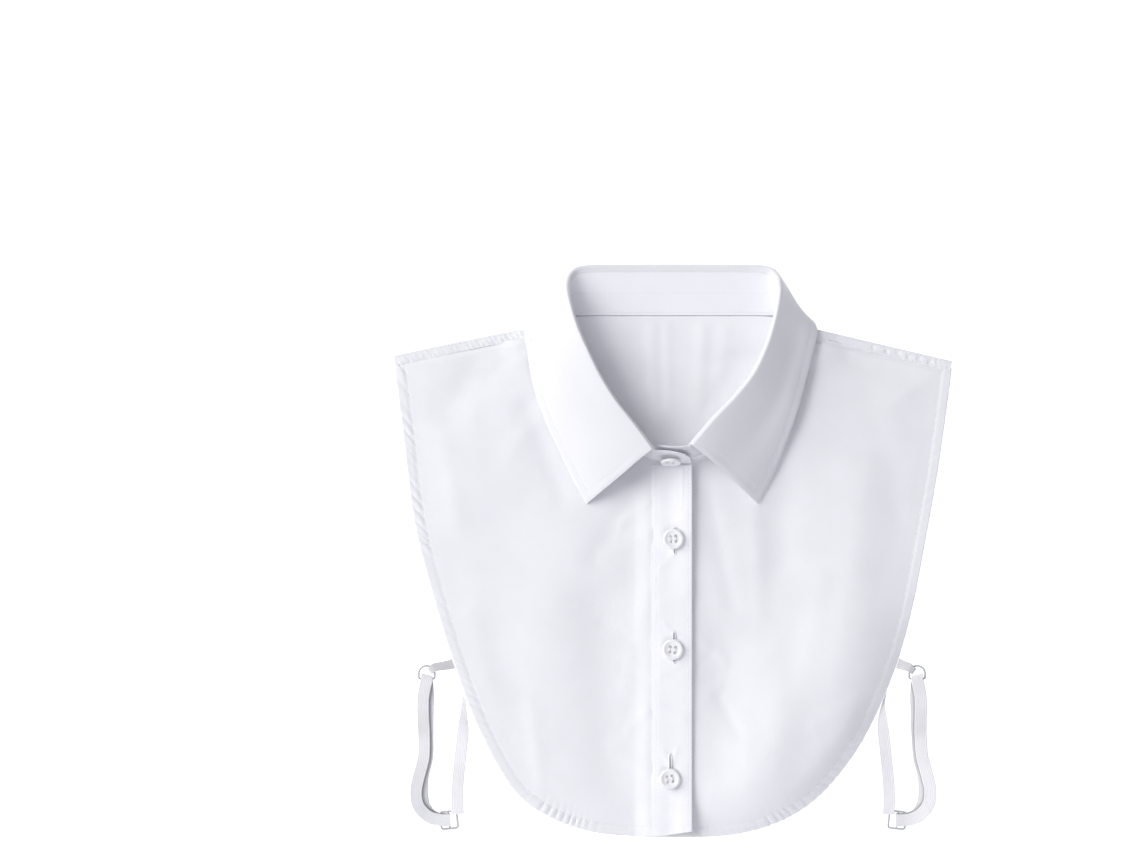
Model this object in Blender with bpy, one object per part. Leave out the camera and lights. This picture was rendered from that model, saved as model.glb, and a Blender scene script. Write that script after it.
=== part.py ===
"""A detachable shirt collar: a buttoned half shirt of white cotton poplin, laid flat on its back.

+X is the viewer's right, +Y runs towards the back of the neck, +Z points up from the surface.
The origin is on that surface, under the middle of the whole piece. Left and right are the viewer's.
Tables and sizes are in millimetres, and the meshes are made in metres.
"""

import math

import bmesh
import bpy
import numpy as np

MM = 0.001

# Cloth
WALL = 1.0  # one panel
COLLAR_WALL = 1.2  # the interlined stand and leaf
GAP = 0.3  # between pieces at a seam
LAYER = WALL + GAP
HEM_WIDTH = 7.5
HEM_WALL = 1.5
PUCKER_PITCH = 8.0
PUCKER_HEIGHT = 0.35
SHOULDER_SEAM_WIDTH = 6.5
SHOULDER_SEAM_WALL = 2 * WALL + GAP

# Front opening
FRONT_EDGE_X = 12.2  # free edge of the left front
PLACKET_X = -14.3  # inner edge of the placket
UNDERLAP_X = -14.0  # edge of the right front, under the placket
PLACKET_SLACK = 0.15
CLIMB = 12.0  # the stretch in which the left front climbs over the right one
HEM_LAP = 1.2  # further climb where hem lies over hem

# Buttons
BUTTON_RADIUS = 6.75
BUTTON_WALL = 2.2
BUTTON_RIM = 1.9
BUTTON_WELL = 0.8
HOLE_SPREAD = 1.75
HOLE_RADIUS = 0.75

# Straps
STRAP_WIDTH = 8.0
STRAP_WALL = 1.0
RING_HALF = 5.5  # from its middle to the middle of its wire
RING_CORNER = 1.3
RING_BASE = 4.2
RING_LOW = 1.0
WIRE_RADIUS = 0.7
TAB_WIDTH = 7.0

# Outer edge of each front, from the shoulder seam's end down to the front edge: x, y
LEFT_EDGE = [
    (-180.0, 119.6), (-174.5, 75.4), (-167.7, 21.5), (-157.0, -22.0), (-142.4, -70.0), (-126.0, -114.0),
    (-103.5, -154.0), (-80.0, -172.0), (-54.0, -181.3), (-28.0, -184.4), (-7.8, -184.4), (12.2, -181.2),
]
RIGHT_EDGE = [
    (180.0, 115.9), (172.0, 58.0), (163.5, 9.0), (153.2, -43.0), (140.2, -84.8), (120.8, -125.5),
    (97.0, -156.0), (74.0, -172.6), (47.7, -181.8), (20.0, -185.0), (-14.0, -185.0),
]
# Folded shoulder edge, from the tip to the neck: x, y
LEFT_SHOULDER = [(-180.7, 126.3), (-138.0, 135.4), (-96.0, 143.6), (-74.5, 146.3)]
RIGHT_SHOULDER = [(180.7, 122.6), (138.0, 132.6), (96.0, 142.4), (74.5, 146.3)]
# Neck seam of the fronts, from the middle of the front to the side of the neck: x, y
NECK = [(0.0, 57.3), (14.0, 59.2), (30.0, 67.0), (45.0, 80.0), (57.0, 95.0), (66.0, 112.0), (71.5, 127.0), (74.0, 139.2)]
# Neck edge of the back, from the left shoulder to the middle: x, y
BACK_NECK = [(-73.6, 139.5), (-71.2, 145.8), (-62.0, 150.2), (-30.0, 150.6), (0.0, 150.6)]

# Folds of the fronts, from end to end: x1, y1, x2, y2, half width, height
FOLDS = [
    (-107.0, 124.0, -152.0, 98.0, 13.0, -1.4),
    (-62.0, 20.0, -80.0, -60.0, 22.0, 1.2),
    (-120.0, 10.0, -105.0, -90.0, 20.0, -1.2),
    (-45.0, -40.0, -40.0, -150.0, 16.0, -1.3),
    (100.0, 133.0, 121.0, 123.0, 7.0, -1.6),
    (70.0, 50.0, 70.0, -10.0, 12.0, -1.2),
    (70.0, -98.0, 66.0, -156.0, 13.0, 1.3),
    (112.0, -112.0, 80.0, -158.0, 17.0, -2.2),
    (36.0, -60.0, 30.0, -140.0, 14.0, -1.2),
    (120.0, 40.0, 122.0, -60.0, 22.0, 1.1),
]
PUFF = 2.6  # how far the fronts stand off the back between their edges
PUFF_EDGE = 48.0
PUFF_NECK = 26.0

# Gap under the free edge of the left front: y, height
EDGE_LIFT = [(-185.0, 2.4), (-150.0, 1.6), (-110.0, 0.3), (-35.0, 0.3), (0.0, 1.3), (30.0, 2.2), (58.0, 2.6)]

# The back rises where the leaf lies under it
LEAF_RISE = 2.0
RISE_FROM_Y = 122.0
RISE_LENGTH = 14.0
RISE_TO_X = 108.0
RISE_WIDTH = 16.0
FRONT_LEAD = 7.0

# Collar, from the middle of the front round to the middle of the back, for the left side.
# Neck seam x, y, z; fold x, y, z; belly of the leaf x, y, z; edge of the leaf x, y and lift; roll of the fold
LEFT_COLLAR = [
    (-14.0, 59.0, 5.6, -12.5, 66.8, 27.5, -33.5, 49.2, 20.0, -56.2, 30.2, 0.3, 1.7),
    (-30.0, 67.0, 4.0, -24.0, 82.0, 28.0, -45.5, 64.5, 20.5, -66.4, 49.4, 0.3, 1.7),
    (-45.0, 80.0, 4.0, -36.2, 97.4, 28.2, -57.5, 83.0, 20.5, -76.0, 69.5, 0.3, 1.7),
    (-57.0, 95.0, 4.0, -46.0, 113.0, 28.0, -67.5, 100.0, 20.0, -84.3, 88.0, 0.3, 1.7),
    (-66.0, 112.0, 4.2, -54.0, 129.5, 27.0, -74.5, 117.5, 19.0, -90.6, 107.0, 0.3, 1.7),
    (-71.5, 127.0, 5.2, -60.3, 144.0, 25.0, -79.5, 133.5, 16.5, -93.8, 125.5, 0.3, 1.7),
    (-74.2, 138.5, 6.2, -64.5, 158.0, 21.5, -82.0, 148.5, 13.5, -95.8, 142.6, 0.6, 1.7),
    (-73.4, 147.2, 5.4, -66.9, 170.0, 16.0, -78.5, 161.5, 8.8, -89.5, 149.2, 0.0, 1.7),
    (-67.5, 151.6, 3.4, -65.3, 179.2, 9.0, -71.0, 172.5, 3.6, -78.5, 146.0, 0.0, 1.6),
    (-56.0, 152.0, 2.5, -57.0, 184.0, 5.0, -59.0, 176.5, 0.9, -61.0, 142.6, 0.0, 1.5),
    (-30.0, 152.0, 2.4, -30.0, 184.6, 3.8, -30.5, 176.5, 0.6, -31.0, 141.6, 0.0, 1.5),
]
MIDDLE_BACK = (0.0, 152.0, 2.4, 0.0, 184.7, 3.6, 0.0, 176.5, 0.6, 0.0, 141.6, 0.0, 1.5)
RIGHT_COLLAR = [
    (14.0, 60.4, 4.6, 9.5, 69.6, 27.5, 33.0, 51.0, 19.0, 54.8, 30.2, 0.3, 2.6),
    (30.0, 67.6, 4.0, 22.5, 85.0, 28.5, 46.5, 68.0, 18.5, 65.0, 49.6, 1.2, 2.8),
    (45.0, 80.0, 4.0, 37.0, 100.0, 28.5, 57.5, 84.0, 17.6, 73.0, 70.0, 3.0, 2.6),
    (57.0, 95.0, 4.0, 48.5, 114.0, 28.0, 66.5, 100.0, 16.8, 80.4, 91.0, 4.5, 2.3),
    (66.0, 112.0, 4.2, 56.5, 129.5, 27.0, 72.5, 118.0, 16.0, 85.9, 111.0, 4.5, 2.1),
    (71.5, 127.0, 5.2, 61.8, 144.0, 25.0, 77.0, 134.0, 14.4, 90.0, 127.5, 3.0, 1.9),
    (74.2, 138.5, 6.2, 65.3, 158.0, 21.5, 80.5, 149.0, 13.5, 93.0, 142.6, 0.9, 1.8),
    (73.4, 147.2, 5.4, 66.9, 170.0, 16.0, 78.0, 161.5, 8.8, 88.0, 149.2, 0.0, 1.7),
    (67.5, 151.6, 3.4, 65.3, 179.2, 9.0, 71.0, 172.5, 3.6, 78.5, 146.0, 0.0, 1.6),
    (56.0, 152.0, 2.5, 57.0, 184.0, 5.0, 59.0, 176.5, 0.9, 61.0, 142.6, 0.0, 1.5),
    (30.0, 152.0, 2.4, 30.0, 184.6, 3.8, 30.5, 176.5, 0.6, 31.0, 141.6, 0.0, 1.5),
]
ON_FRONTS = 7  # so many rows at each end of the collar lie over the fronts
LEAF_SEAM = 4.5  # the leaf is sewn to the stand this far under its fold
COLLAR_STEPS = 3  # cross-sections for each row of the collar's tables

# Ends of the stand past the leaf, from the leaf outwards: seam x, y, z; top x, y, z
OUTER_END = [
    (-2.0, 57.2, 7.0, -2.5, 64.6, 23.5), (6.0, 56.8, 7.4, 5.6, 63.0, 22.0), (11.8, 56.6, 7.6, 10.6, 60.6, 16.5),
]
INNER_END = [
    (4.0, 59.9, 4.4, 2.0, 67.4, 24.0), (-5.0, 60.3, 4.6, -5.0, 67.8, 23.5), (-11.0, 61.6, 5.0, -10.2, 68.2, 19.0),
]

# The loop strap from its ring to its slider, on the left: x, y, height of the upper layer, distance down to the
# lower one, tilt, how far the lower one shows past the upper
LOOP = [
    (-159.2, -83.4, 3.8, 3.2, 0.0, 0.0), (-161.4, -94.0, 2.6, 1.9, 0.0, 2.4), (-161.6, -106.0, 2.3, 1.7, 0.0, 3.0),
    (-161.0, -119.0, 2.6, 1.6, 4.0, 1.2), (-161.2, -133.0, 4.0, 1.6, 18.0, 0.8), (-163.8, -144.0, 5.8, 1.6, 32.0, 2.4),
    (-166.0, -154.0, 7.0, 1.7, 38.0, 4.0), (-165.0, -163.5, 6.2, 1.8, 32.0, 2.8), (-159.4, -170.8, 4.6, 2.4, 16.0, 0.6),
    (-152.0, -173.8, 3.7, 3.1, 0.0, 0.0), (-144.0, -174.2, 3.6, 3.0, 0.0, 0.0),
]
# The strap from the back's edge to the slider, on the left: x, y, height, tilt
REAR = [
    (-134.9, -104.5, 0.6, 0.0), (-135.8, -117.0, 1.5, -12.0), (-137.4, -132.0, 2.4, -22.0),
    (-139.0, -148.0, 2.6, -18.0), (-139.5, -161.0, 3.2, 0.0), (-139.1, -170.3, 3.7, 0.0),
]
REAR_START_Y = -93.0
TAB_START_Y = -72.5
TAB_TURN = 38.0  # way of the tab from its ring, in degrees above level
TAB_HELD = 4.8  # its width where the ring gathers it
RIGHT_RING_IN = 1.5
RING_CENTRE = (-159.2, -78.6, 2.2)
SLIDER_CENTRE = (-144.8, -174.0, 2.1)
SLIDER_TURN = 6.0

# Buttons on the placket: x, y; and the place of the stand's button along its outer end
PLACKET_BUTTONS = [(0.0, 7.8), (-0.4, -63.7), (-2.2, -147.2)]
STAND_BUTTON = (-1.7, 60.4, 14.5)
STAND_BUTTON_LEAN = 17.0

COTTON = (0.87, 0.875, 0.90)
INTERLINED = (0.90, 0.90, 0.93)
ELASTIC = (0.80, 0.80, 0.82)
BUTTON_COLOUR = (0.90, 0.90, 0.89)
WIRE_COLOUR = (0.74, 0.75, 0.78)


def smooth(value):
    """0 below 0, 1 above 1, and a soft step between."""
    value = np.clip(value, 0.0, 1.0)
    return value * value * (3 - 2 * value)


def along(rows, places):
    """The rows at places counted in rows, on a smooth curve through them."""
    rows = np.asarray(rows, float)
    slopes = np.gradient(rows, axis=0)
    places = np.clip(np.asarray(places, float), 0, len(rows) - 1)
    first = np.minimum(places.astype(int), len(rows) - 2)
    t = (places - first)[:, None]
    keep = 2 * t**3 - 3 * t**2 + 1
    start = (t**3 - 2 * t**2 + t) * slopes[first]
    end = (t**3 - t**2) * slopes[first + 1]
    return keep * rows[first] + start + (1 - keep) * rows[first + 1] + end


def evenly(rows, count):
    """count points at even distances on the smooth curve through the rows."""
    fine = along(rows, np.linspace(0, len(rows) - 1, 24 * len(rows)))
    steps = np.linalg.norm(np.diff(fine, axis=0), axis=1)
    run = np.concatenate([[0.0], np.cumsum(steps)])
    places = np.linspace(0, run[-1], count)
    return np.stack([np.interp(places, run, fine[:, k]) for k in range(fine.shape[1])], axis=1)


def inset(points, distance, side):
    """A flat curve moved sideways, to its left where side is 1 and to its right where it is -1."""
    tangent = np.gradient(points, axis=0)
    tangent /= np.linalg.norm(tangent, axis=1)[:, None]
    return points + side * distance * np.stack([-tangent[:, 1], tangent[:, 0]], axis=1)


def nearest(x, y, line):
    """Distance from each point to a line of many points."""
    flat = np.stack([np.ravel(x), np.ravel(y)], axis=1)
    starts, steps = line[:-1], np.diff(line, axis=0)
    reach = flat[:, None, :] - starts[None]
    share = (reach * steps).sum(-1) / np.maximum((steps**2).sum(-1), 1e-9)
    foot = starts + np.clip(share, 0, 1)[..., None] * steps
    return np.linalg.norm(flat[:, None, :] - foot, axis=-1).min(axis=1).reshape(np.shape(x))


EDGES = {-1: LEFT_EDGE, 1: RIGHT_EDGE}
SHOULDERS = {-1: LEFT_SHOULDER, 1: RIGHT_SHOULDER}
OUTLINE = np.concatenate([
    evenly(LEFT_SHOULDER, 10)[::-1], evenly(LEFT_EDGE, 50), evenly(RIGHT_EDGE[:-1], 50)[::-1], evenly(RIGHT_SHOULDER, 10),
])
NECK_LINE = evenly(NECK, 30)
NECK_OUTLINE = np.concatenate([(NECK_LINE * (-1, 1))[::-1], NECK_LINE])


def fold_height(x, y):
    """The fronts' folds at each point."""
    height = np.zeros(np.shape(x))
    for x1, y1, x2, y2, half_width, top in FOLDS:
        distance = nearest(x, y, np.array([(x1, y1), (x2, y2)]))
        height = height + top * np.exp(-((distance / half_width) ** 2))
    return height


def relief(x, y):
    """How far the fronts stand off the back."""
    free = smooth(nearest(x, y, OUTLINE) / PUFF_EDGE) * smooth(nearest(x, y, NECK_OUTLINE) / PUFF_NECK)
    return free * np.maximum(PUFF + fold_height(x, y), 0.0)


def back_under(x, y, lead=0.0):
    """Underside of the back, which starts to rise so far ahead of the leaf."""
    from_side = smooth((RISE_TO_X + lead - np.abs(x)) / RISE_WIDTH)
    return LEAF_RISE * smooth((y - RISE_FROM_Y + lead) / RISE_LENGTH) * from_side


def right_under(x, y):
    """Underside of the right front, which rises ahead of the back and so stays clear of it."""
    return back_under(x, y, FRONT_LEAD) + LAYER + relief(x, y)


def left_under(x, y):
    """Underside of the left front, which climbs over the right one near the middle."""
    climb = smooth((x - UNDERLAP_X + CLIMB) / CLIMB)
    lap = LAYER + HEM_LAP * smooth((-158.0 - y) / 12.0)
    heights, lifts = zip(*EDGE_LIFT)
    lift = np.interp(y, heights, lifts) * smooth((x + 4.0) / (FRONT_EDGE_X + 4.0))
    return right_under(x, y) + climb * lap + lift


UNDERSIDE = {-1: left_under, 1: right_under}


def material(name, colour, roughness, metallic=0.0):
    made = bpy.data.materials.new(name)
    made.use_nodes = True
    shader = made.node_tree.nodes["Principled BSDF"]
    shader.inputs["Base Color"].default_value = (*colour, 1.0)
    shader.inputs["Roughness"].default_value = roughness
    shader.inputs["Metallic"].default_value = metallic
    return made


def add_object(name, points, faces, finish):
    """One closed mesh, its points given in millimetres, as an object of the scene."""
    shape = bmesh.new()
    corners = [shape.verts.new(point) for point in np.asarray(points) * MM]
    for face in faces:
        shape.faces.new([corners[k] for k in face])
    bmesh.ops.recalc_face_normals(shape, faces=shape.faces)
    mesh = bpy.data.meshes.new(name)
    shape.to_mesh(mesh)
    shape.free()
    mesh.shade_smooth()
    mesh.set_sharp_from_angle(angle=math.radians(35))
    made = bpy.data.objects.new(name, mesh)
    made.data.materials.append(finish)
    bpy.context.scene.collection.objects.link(made)
    return made


def not_below(points):
    """The points, with any that fall under the surface put on it."""
    return np.column_stack([points[:, :2], np.maximum(points[:, 2], 0.0)])


def add_sheet(name, under, top, finish):
    """A closed wall between two grids of points."""
    across, down = under.shape[:2]
    shift = across * down

    def corner(i, j, upper):
        return i * down + j + shift * upper

    faces = []
    for i in range(across - 1):
        for j in range(down - 1):
            square = [(i, j), (i + 1, j), (i + 1, j + 1), (i, j + 1)]
            faces.append([corner(a, b, 1) for a, b in square])
            faces.append([corner(a, b, 0) for a, b in reversed(square)])
    rim = [(i, 0) for i in range(across)] + [(across - 1, j) for j in range(1, down)]
    rim += [(i, down - 1) for i in range(across - 2, -1, -1)] + [(0, j) for j in range(down - 2, 0, -1)]
    for (a, b), (c, d) in zip(rim, rim[1:] + rim[:1]):
        faces.append([corner(a, b, 0), corner(c, d, 0), corner(c, d, 1), corner(a, b, 1)])
    points = np.concatenate([under.reshape(-1, 3), top.reshape(-1, 3)])
    return add_object(name, not_below(points), faces, finish)


def add_band(name, centre, across, width, wall, finish):
    """A flat band along centre, whose width lies along the unit vectors in across."""
    tangent = np.gradient(centre, axis=0)
    normal = np.cross(tangent, across)
    normal /= np.linalg.norm(normal, axis=1)[:, None]
    half = across * np.reshape(width, (-1, 1)) / 2
    corners = [centre + a * half + b * normal * wall / 2 for a, b in ((-1, -1), (1, -1), (1, 1), (-1, 1))]
    rows = np.stack(corners, axis=1)
    faces = [[3, 2, 1, 0], [4 * (len(rows) - 1) + k for k in range(4)]]
    for i in range(len(rows) - 1):
        for k in range(4):
            following = (k + 1) % 4
            faces.append([4 * i + k, 4 * i + following, 4 * i + 4 + following, 4 * i + 4 + k])
    return add_object(name, not_below(rows.reshape(-1, 3)), faces, finish)


def grid(inner, outer, rows, crowding=1.0):
    """Points on straight lines from an inner curve to an outer one, crowded towards the inner one."""
    share = np.linspace(0, 1, rows)[None, :, None] ** crowding
    return inner[:, None, :] * (1 - share) + outer[:, None, :] * share


def raised(flat, height):
    return np.concatenate([flat, height[..., None]], axis=-1)


def seam_line(side, count):
    """Lower edge of the shoulder seam, from the tip to the neck."""
    return inset(evenly(SHOULDERS[side], count), SHOULDER_SEAM_WIDTH, side)


def front_edge_x(side):
    return FRONT_EDGE_X if side < 0 else UNDERLAP_X


def hem_inside(side, count, width):
    """The front's outer edge moved in by the hem's width, closed up to the seam and the front edge."""
    moved = inset(evenly(EDGES[side], count), width, -side)
    seam = seam_line(side, 40)
    tip = seam[np.argmin(np.abs(seam[:, 0] - moved[0, 0]))]
    moved[0] = tip - (0.0, GAP)
    moved[-1] = (front_edge_x(side), moved[-1, 1])
    return moved


def front_neck(side, count):
    """Neck edge of one front, from its front edge to the shoulder."""
    if side < 0:
        rows = [(-FRONT_EDGE_X, 56.9)] + NECK
    else:
        rows = [(UNDERLAP_X, 60.3), (0.0, 59.4), (14.0, 60.6)] + NECK[2:]
    return evenly(rows, count) * (side, 1)


def add_front(side, name, finish):
    across, down = 29, 12
    share = np.linspace(0, 1, across)
    inner = along(front_neck(side, 60), 59 * share * (1.25 - 0.25 * share))
    outer = along(hem_inside(side, 90, HEM_WIDTH + GAP)[::-1], 89 * share * (0.6 + 0.4 * share))
    seam = seam_line(side, 60)
    inner[-1] = seam[np.argmin(np.abs(seam[:, 0] - side * 74.5))] - (0.0, GAP)
    flat = grid(inner, outer, down)
    height = UNDERSIDE[side](flat[..., 0], flat[..., 1])
    return add_sheet(name, raised(flat, height), raised(flat, height + WALL), finish)


def add_front_hem(side, name, finish):
    """The narrow hem, whose top puckers along its stitching."""
    length = np.linalg.norm(np.diff(evenly(EDGES[side], 200), axis=0), axis=1).sum()
    count = 2 * int(length / PUCKER_PITCH) + 1
    outer = evenly(EDGES[side], count)
    outer[0, 1] -= GAP
    inner = hem_inside(side, count, HEM_WIDTH)
    flat = grid(inner, outer, 3)
    height = UNDERSIDE[side](flat[..., 0], flat[..., 1])
    pucker = np.where(np.arange(count) % 2, PUCKER_HEIGHT, -PUCKER_HEIGHT)[:, None] * np.array([0.0, 1.0, 0.5])
    return add_sheet(name, raised(flat, height), raised(flat, height + HEM_WALL + pucker), finish)


def back_outline(count, width):
    """The back's outer edge from the left shoulder to the right one, kept just inside the fronts."""
    left = evenly(LEFT_EDGE[:-1], count // 2 + 1)
    right = evenly(RIGHT_EDGE[:-1], count // 2 + 1)[::-1]
    edge = evenly(np.concatenate([left[:-1], right[1:]])[::2], count)
    moved = inset(edge, width, 1)
    moved[0] = (moved[0, 0], edge[0, 1] - 0.5)
    moved[-1] = (moved[-1, 0], edge[-1, 1] - 0.5)
    return moved


def back_top():
    """The back's top edge, along the left shoulder seam, round the neck and along the right seam."""
    places = np.linspace(5, 59, 11)
    left = along(inset(evenly(LEFT_SHOULDER, 60), SHOULDER_SEAM_WIDTH + GAP, -1), places)
    right = along(inset(evenly(RIGHT_SHOULDER, 60), SHOULDER_SEAM_WIDTH + GAP, 1), places)
    half = evenly(BACK_NECK, 11)[1:]
    return np.concatenate([left, half, (half[:-1] * (-1, 1))[::-1], right[::-1]])


def add_back(finish):
    top_edge = back_top()
    across, down = len(top_edge), 10
    outer = back_outline(across, 1.0 + HEM_WIDTH + GAP)
    flat = grid(top_edge, outer, down, 1.7)
    height = back_under(flat[..., 0], flat[..., 1])
    add_sheet("back_panel", raised(flat, height), raised(flat, height + WALL), finish)
    flat = grid(back_outline(across, 1.0 + HEM_WIDTH), back_outline(across, 1.0), 2)
    height = back_under(flat[..., 0], flat[..., 1])
    add_sheet("back_hem", raised(flat, height), raised(flat, height + WALL), finish)


def add_shoulder_seam(side, name, finish):
    """The felled seam along a shoulder, rounded where the cloth folds over it."""
    count = 22
    fold = evenly(SHOULDERS[side], count)
    shares = np.array([0.0, 0.5, 0.92, 1.0])
    flat = np.stack([inset(fold, SHOULDER_SEAM_WIDTH * (1 - share), side) for share in shares], axis=1)
    under = back_under(flat[..., 0], flat[..., 1])
    round_off = np.array([0.0, 0.0, 0.15, 0.75])
    pucker = np.where(np.arange(count) % 2, 0.15, -0.15)[:, None] * np.array([0.0, 1.0, 0.3, 0.0])
    top = under + SHOULDER_SEAM_WALL - round_off + pucker
    add_sheet(name, raised(flat, under + round_off), raised(flat, top), finish)


def placket_point(x, share):
    """A point of the placket: x, and its share of the way down from the neck to the bottom edge."""
    top = 55.4
    bottom = np.interp(x, *zip(*LEFT_EDGE[-4:])) + GAP
    return top + (bottom - top) * share


def placket_under(x, y):
    """Underside of the placket, raised over the hem."""
    return left_under(x, y) + LAYER + PLACKET_SLACK + (HEM_WALL - WALL + PUCKER_HEIGHT) * smooth((-166.0 - y) / 7.0)


def add_placket(finish):
    x, share = np.meshgrid(np.linspace(PLACKET_X, FRONT_EDGE_X, 6), np.linspace(0, 1, 32), indexing="ij")
    flat = np.stack([x, placket_point(x, share)], axis=-1)
    under = placket_under(flat[..., 0], flat[..., 1])
    add_sheet("placket", raised(flat, under), raised(flat, under + WALL), finish)


def collar_rows():
    """The collar's table from the left front round the back to the right front."""
    return np.array(LEFT_COLLAR + [MIDDLE_BACK] + RIGHT_COLLAR[::-1], float)


def leaf_edge_height(x, y, lift, place, last):
    """Height of the leaf's edge: on the fronts at both ends of the collar, and on the surface behind."""
    on_front = UNDERSIDE[-1](x, y) if x < 0 else UNDERSIDE[1](x, y)
    over = float(on_front) + WALL + GAP + COLLAR_WALL / 2 + lift
    return over if min(place, last - place) < ON_FRONTS else COLLAR_WALL / 2 + 0.1


def collar_sections():
    """For each cross-section: neck seam, fold, the way up the stand, and the leaf's profile."""
    rows = collar_rows()
    last = len(rows) - 1
    heights = [leaf_edge_height(row[9], row[10], row[11], k, last) for k, row in enumerate(rows)]
    rows = np.column_stack([rows, heights])
    rows = along(rows, np.linspace(0, last, last * COLLAR_STEPS + 1))
    seam, fold, belly = rows[:, 0:3], rows[:, 3:6], rows[:, 6:9]
    edge = rows[:, [9, 10, 13]]
    roll = rows[:, 12:13]
    up = fold - seam
    up /= np.linalg.norm(up, axis=1)[:, None]
    out = belly - fold
    out -= (out * up).sum(axis=1)[:, None] * up
    out /= np.linalg.norm(out, axis=1)[:, None]
    centre = fold - roll * up + roll * out
    profile = [
        fold - LEAF_SEAM * up,
        centre - roll * out,
        centre + roll * (0.7 * up - 0.7 * out),
        centre + roll * up,
        centre + roll * (0.7 * up + 0.7 * out),
        (fold + belly) / 2 + 0.55 * roll * (out + up),
        belly,
        (belly + edge) / 2 + (0.0, 0.0, 1.0) * (belly - edge)[:, 2:3] * 0.06,
        edge,
    ]
    return seam, fold, up, np.stack(profile, axis=1)


def thick(surface, wall):
    """The two faces of a wall whose middle is a grid of points."""
    first = np.gradient(surface, axis=0)
    second = np.gradient(surface, axis=1)
    normal = np.cross(first, second)
    normal /= np.linalg.norm(normal, axis=-1)[..., None]
    return surface - normal * wall / 2, surface + normal * wall / 2


def add_collar(finish):
    seam, fold, up, profile = collar_sections()
    under, top = thick(profile, COLLAR_WALL)
    add_sheet("collar_leaf", under, top, finish)
    stand_top = fold - (LEAF_SEAM + GAP) * up
    start = np.array(OUTER_END[::-1], float)
    end = np.array(INNER_END, float)
    seam = np.concatenate([start[:, :3], seam, end[:, :3]])
    stand_top = np.concatenate([start[:, 3:], stand_top, end[:, 3:]])
    share = np.linspace(0, 1, 3)[None, :, None]
    surface = seam[:, None, :] * (1 - share) + stand_top[:, None, :] * share
    under, top = thick(surface, COLLAR_WALL)
    add_sheet("collar_stand", under, top, finish)


def button_mesh(finish):
    """A turned disc with a raised rim and four holes through it."""
    profile = [
        (0.0, 0.0), (BUTTON_RADIUS - 1.2, 0.0), (BUTTON_RADIUS, 0.9), (BUTTON_RADIUS - 0.3, BUTTON_WALL - 0.3),
        (BUTTON_RADIUS - 1.0, BUTTON_WALL), (BUTTON_RADIUS - BUTTON_RIM, BUTTON_WALL - 0.2),
        (BUTTON_RADIUS - BUTTON_RIM - 0.7, BUTTON_WALL - BUTTON_WELL), (0.0, BUTTON_WALL - BUTTON_WELL),
    ]
    shape = bmesh.new()
    corners = [shape.verts.new((r * MM, 0.0, z * MM)) for r, z in profile]
    edges = [shape.edges.new(pair) for pair in zip(corners, corners[1:])]
    bmesh.ops.spin(
        shape, geom=corners + edges, axis=(0, 0, 1), cent=(0, 0, 0), angle=math.tau, steps=18, use_merge=True,
    )
    bmesh.ops.remove_doubles(shape, verts=shape.verts, dist=1e-6)
    bmesh.ops.recalc_face_normals(shape, faces=shape.faces)
    blank_mesh = bpy.data.meshes.new("button_blank")
    shape.to_mesh(blank_mesh)
    shape.free()
    blank = bpy.data.objects.new("button_blank", blank_mesh)
    cutters = bmesh.new()
    for a in (-1, 1):
        for b in (-1, 1):
            made = bmesh.ops.create_cone(
                cutters, cap_ends=True, segments=6, radius1=HOLE_RADIUS * MM, radius2=HOLE_RADIUS * MM,
                depth=4 * BUTTON_WALL * MM,
            )
            bmesh.ops.translate(cutters, verts=made["verts"], vec=(a * HOLE_SPREAD * MM, b * HOLE_SPREAD * MM, 0))
    cutter_mesh = bpy.data.meshes.new("button_holes")
    cutters.to_mesh(cutter_mesh)
    cutters.free()
    cutter = bpy.data.objects.new("button_holes", cutter_mesh)
    for helper in (blank, cutter):
        bpy.context.scene.collection.objects.link(helper)
    cut = blank.modifiers.new("Holes", "BOOLEAN")
    cut.operation = "DIFFERENCE"
    cut.object = cutter
    bpy.context.view_layer.update()
    drilled = bpy.data.meshes.new_from_object(blank.evaluated_get(bpy.context.evaluated_depsgraph_get()))
    for helper in (blank, cutter):
        bpy.data.objects.remove(helper)
    drilled.materials.clear()
    drilled.materials.append(finish)
    drilled.shade_smooth()
    drilled.set_sharp_from_angle(angle=math.radians(40))
    return drilled


def add_buttons(finish):
    mesh = button_mesh(finish)
    for number, (x, y) in enumerate(PLACKET_BUTTONS, 1):
        turn = np.linspace(0, math.tau, 16)
        rim = placket_under(x + BUTTON_RADIUS * np.cos(turn), y + BUTTON_RADIUS * np.sin(turn)) + WALL
        made = bpy.data.objects.new(f"button_{number}", mesh)
        made.location = (x * MM, y * MM, (rim.max() + GAP) * MM)
        bpy.context.scene.collection.objects.link(made)
    made = bpy.data.objects.new("button_stand", mesh)
    made.location = [value * MM for value in STAND_BUTTON]
    lean = math.radians(90 - STAND_BUTTON_LEAN)
    made.rotation_euler = (lean, 0, 0)
    distance = COLLAR_WALL / 2 + GAP + 1.2
    made.location.y -= math.sin(lean) * distance * MM
    made.location.z += math.cos(lean) * distance * MM
    bpy.context.scene.collection.objects.link(made)


def band_across(plan, tilt):
    """Unit vectors across a band that runs along plan and is tilted by so many degrees."""
    tangent = np.gradient(plan, axis=0)
    tangent /= np.linalg.norm(tangent, axis=1)[:, None]
    tilt = np.radians(tilt)
    flat = np.stack([-tangent[:, 1], tangent[:, 0]], axis=1) * np.cos(tilt)[:, None]
    return np.column_stack([flat, -np.sin(tilt)])


def mirrored(values, side):
    """Left-hand points or vectors, mirrored for the right side."""
    return values * (-side, 1, 1)


def ring_shift(side):
    """The right ring lies a little nearer to the fronts than the left one."""
    return RIGHT_RING_IN if side > 0 else 0.0


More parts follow.
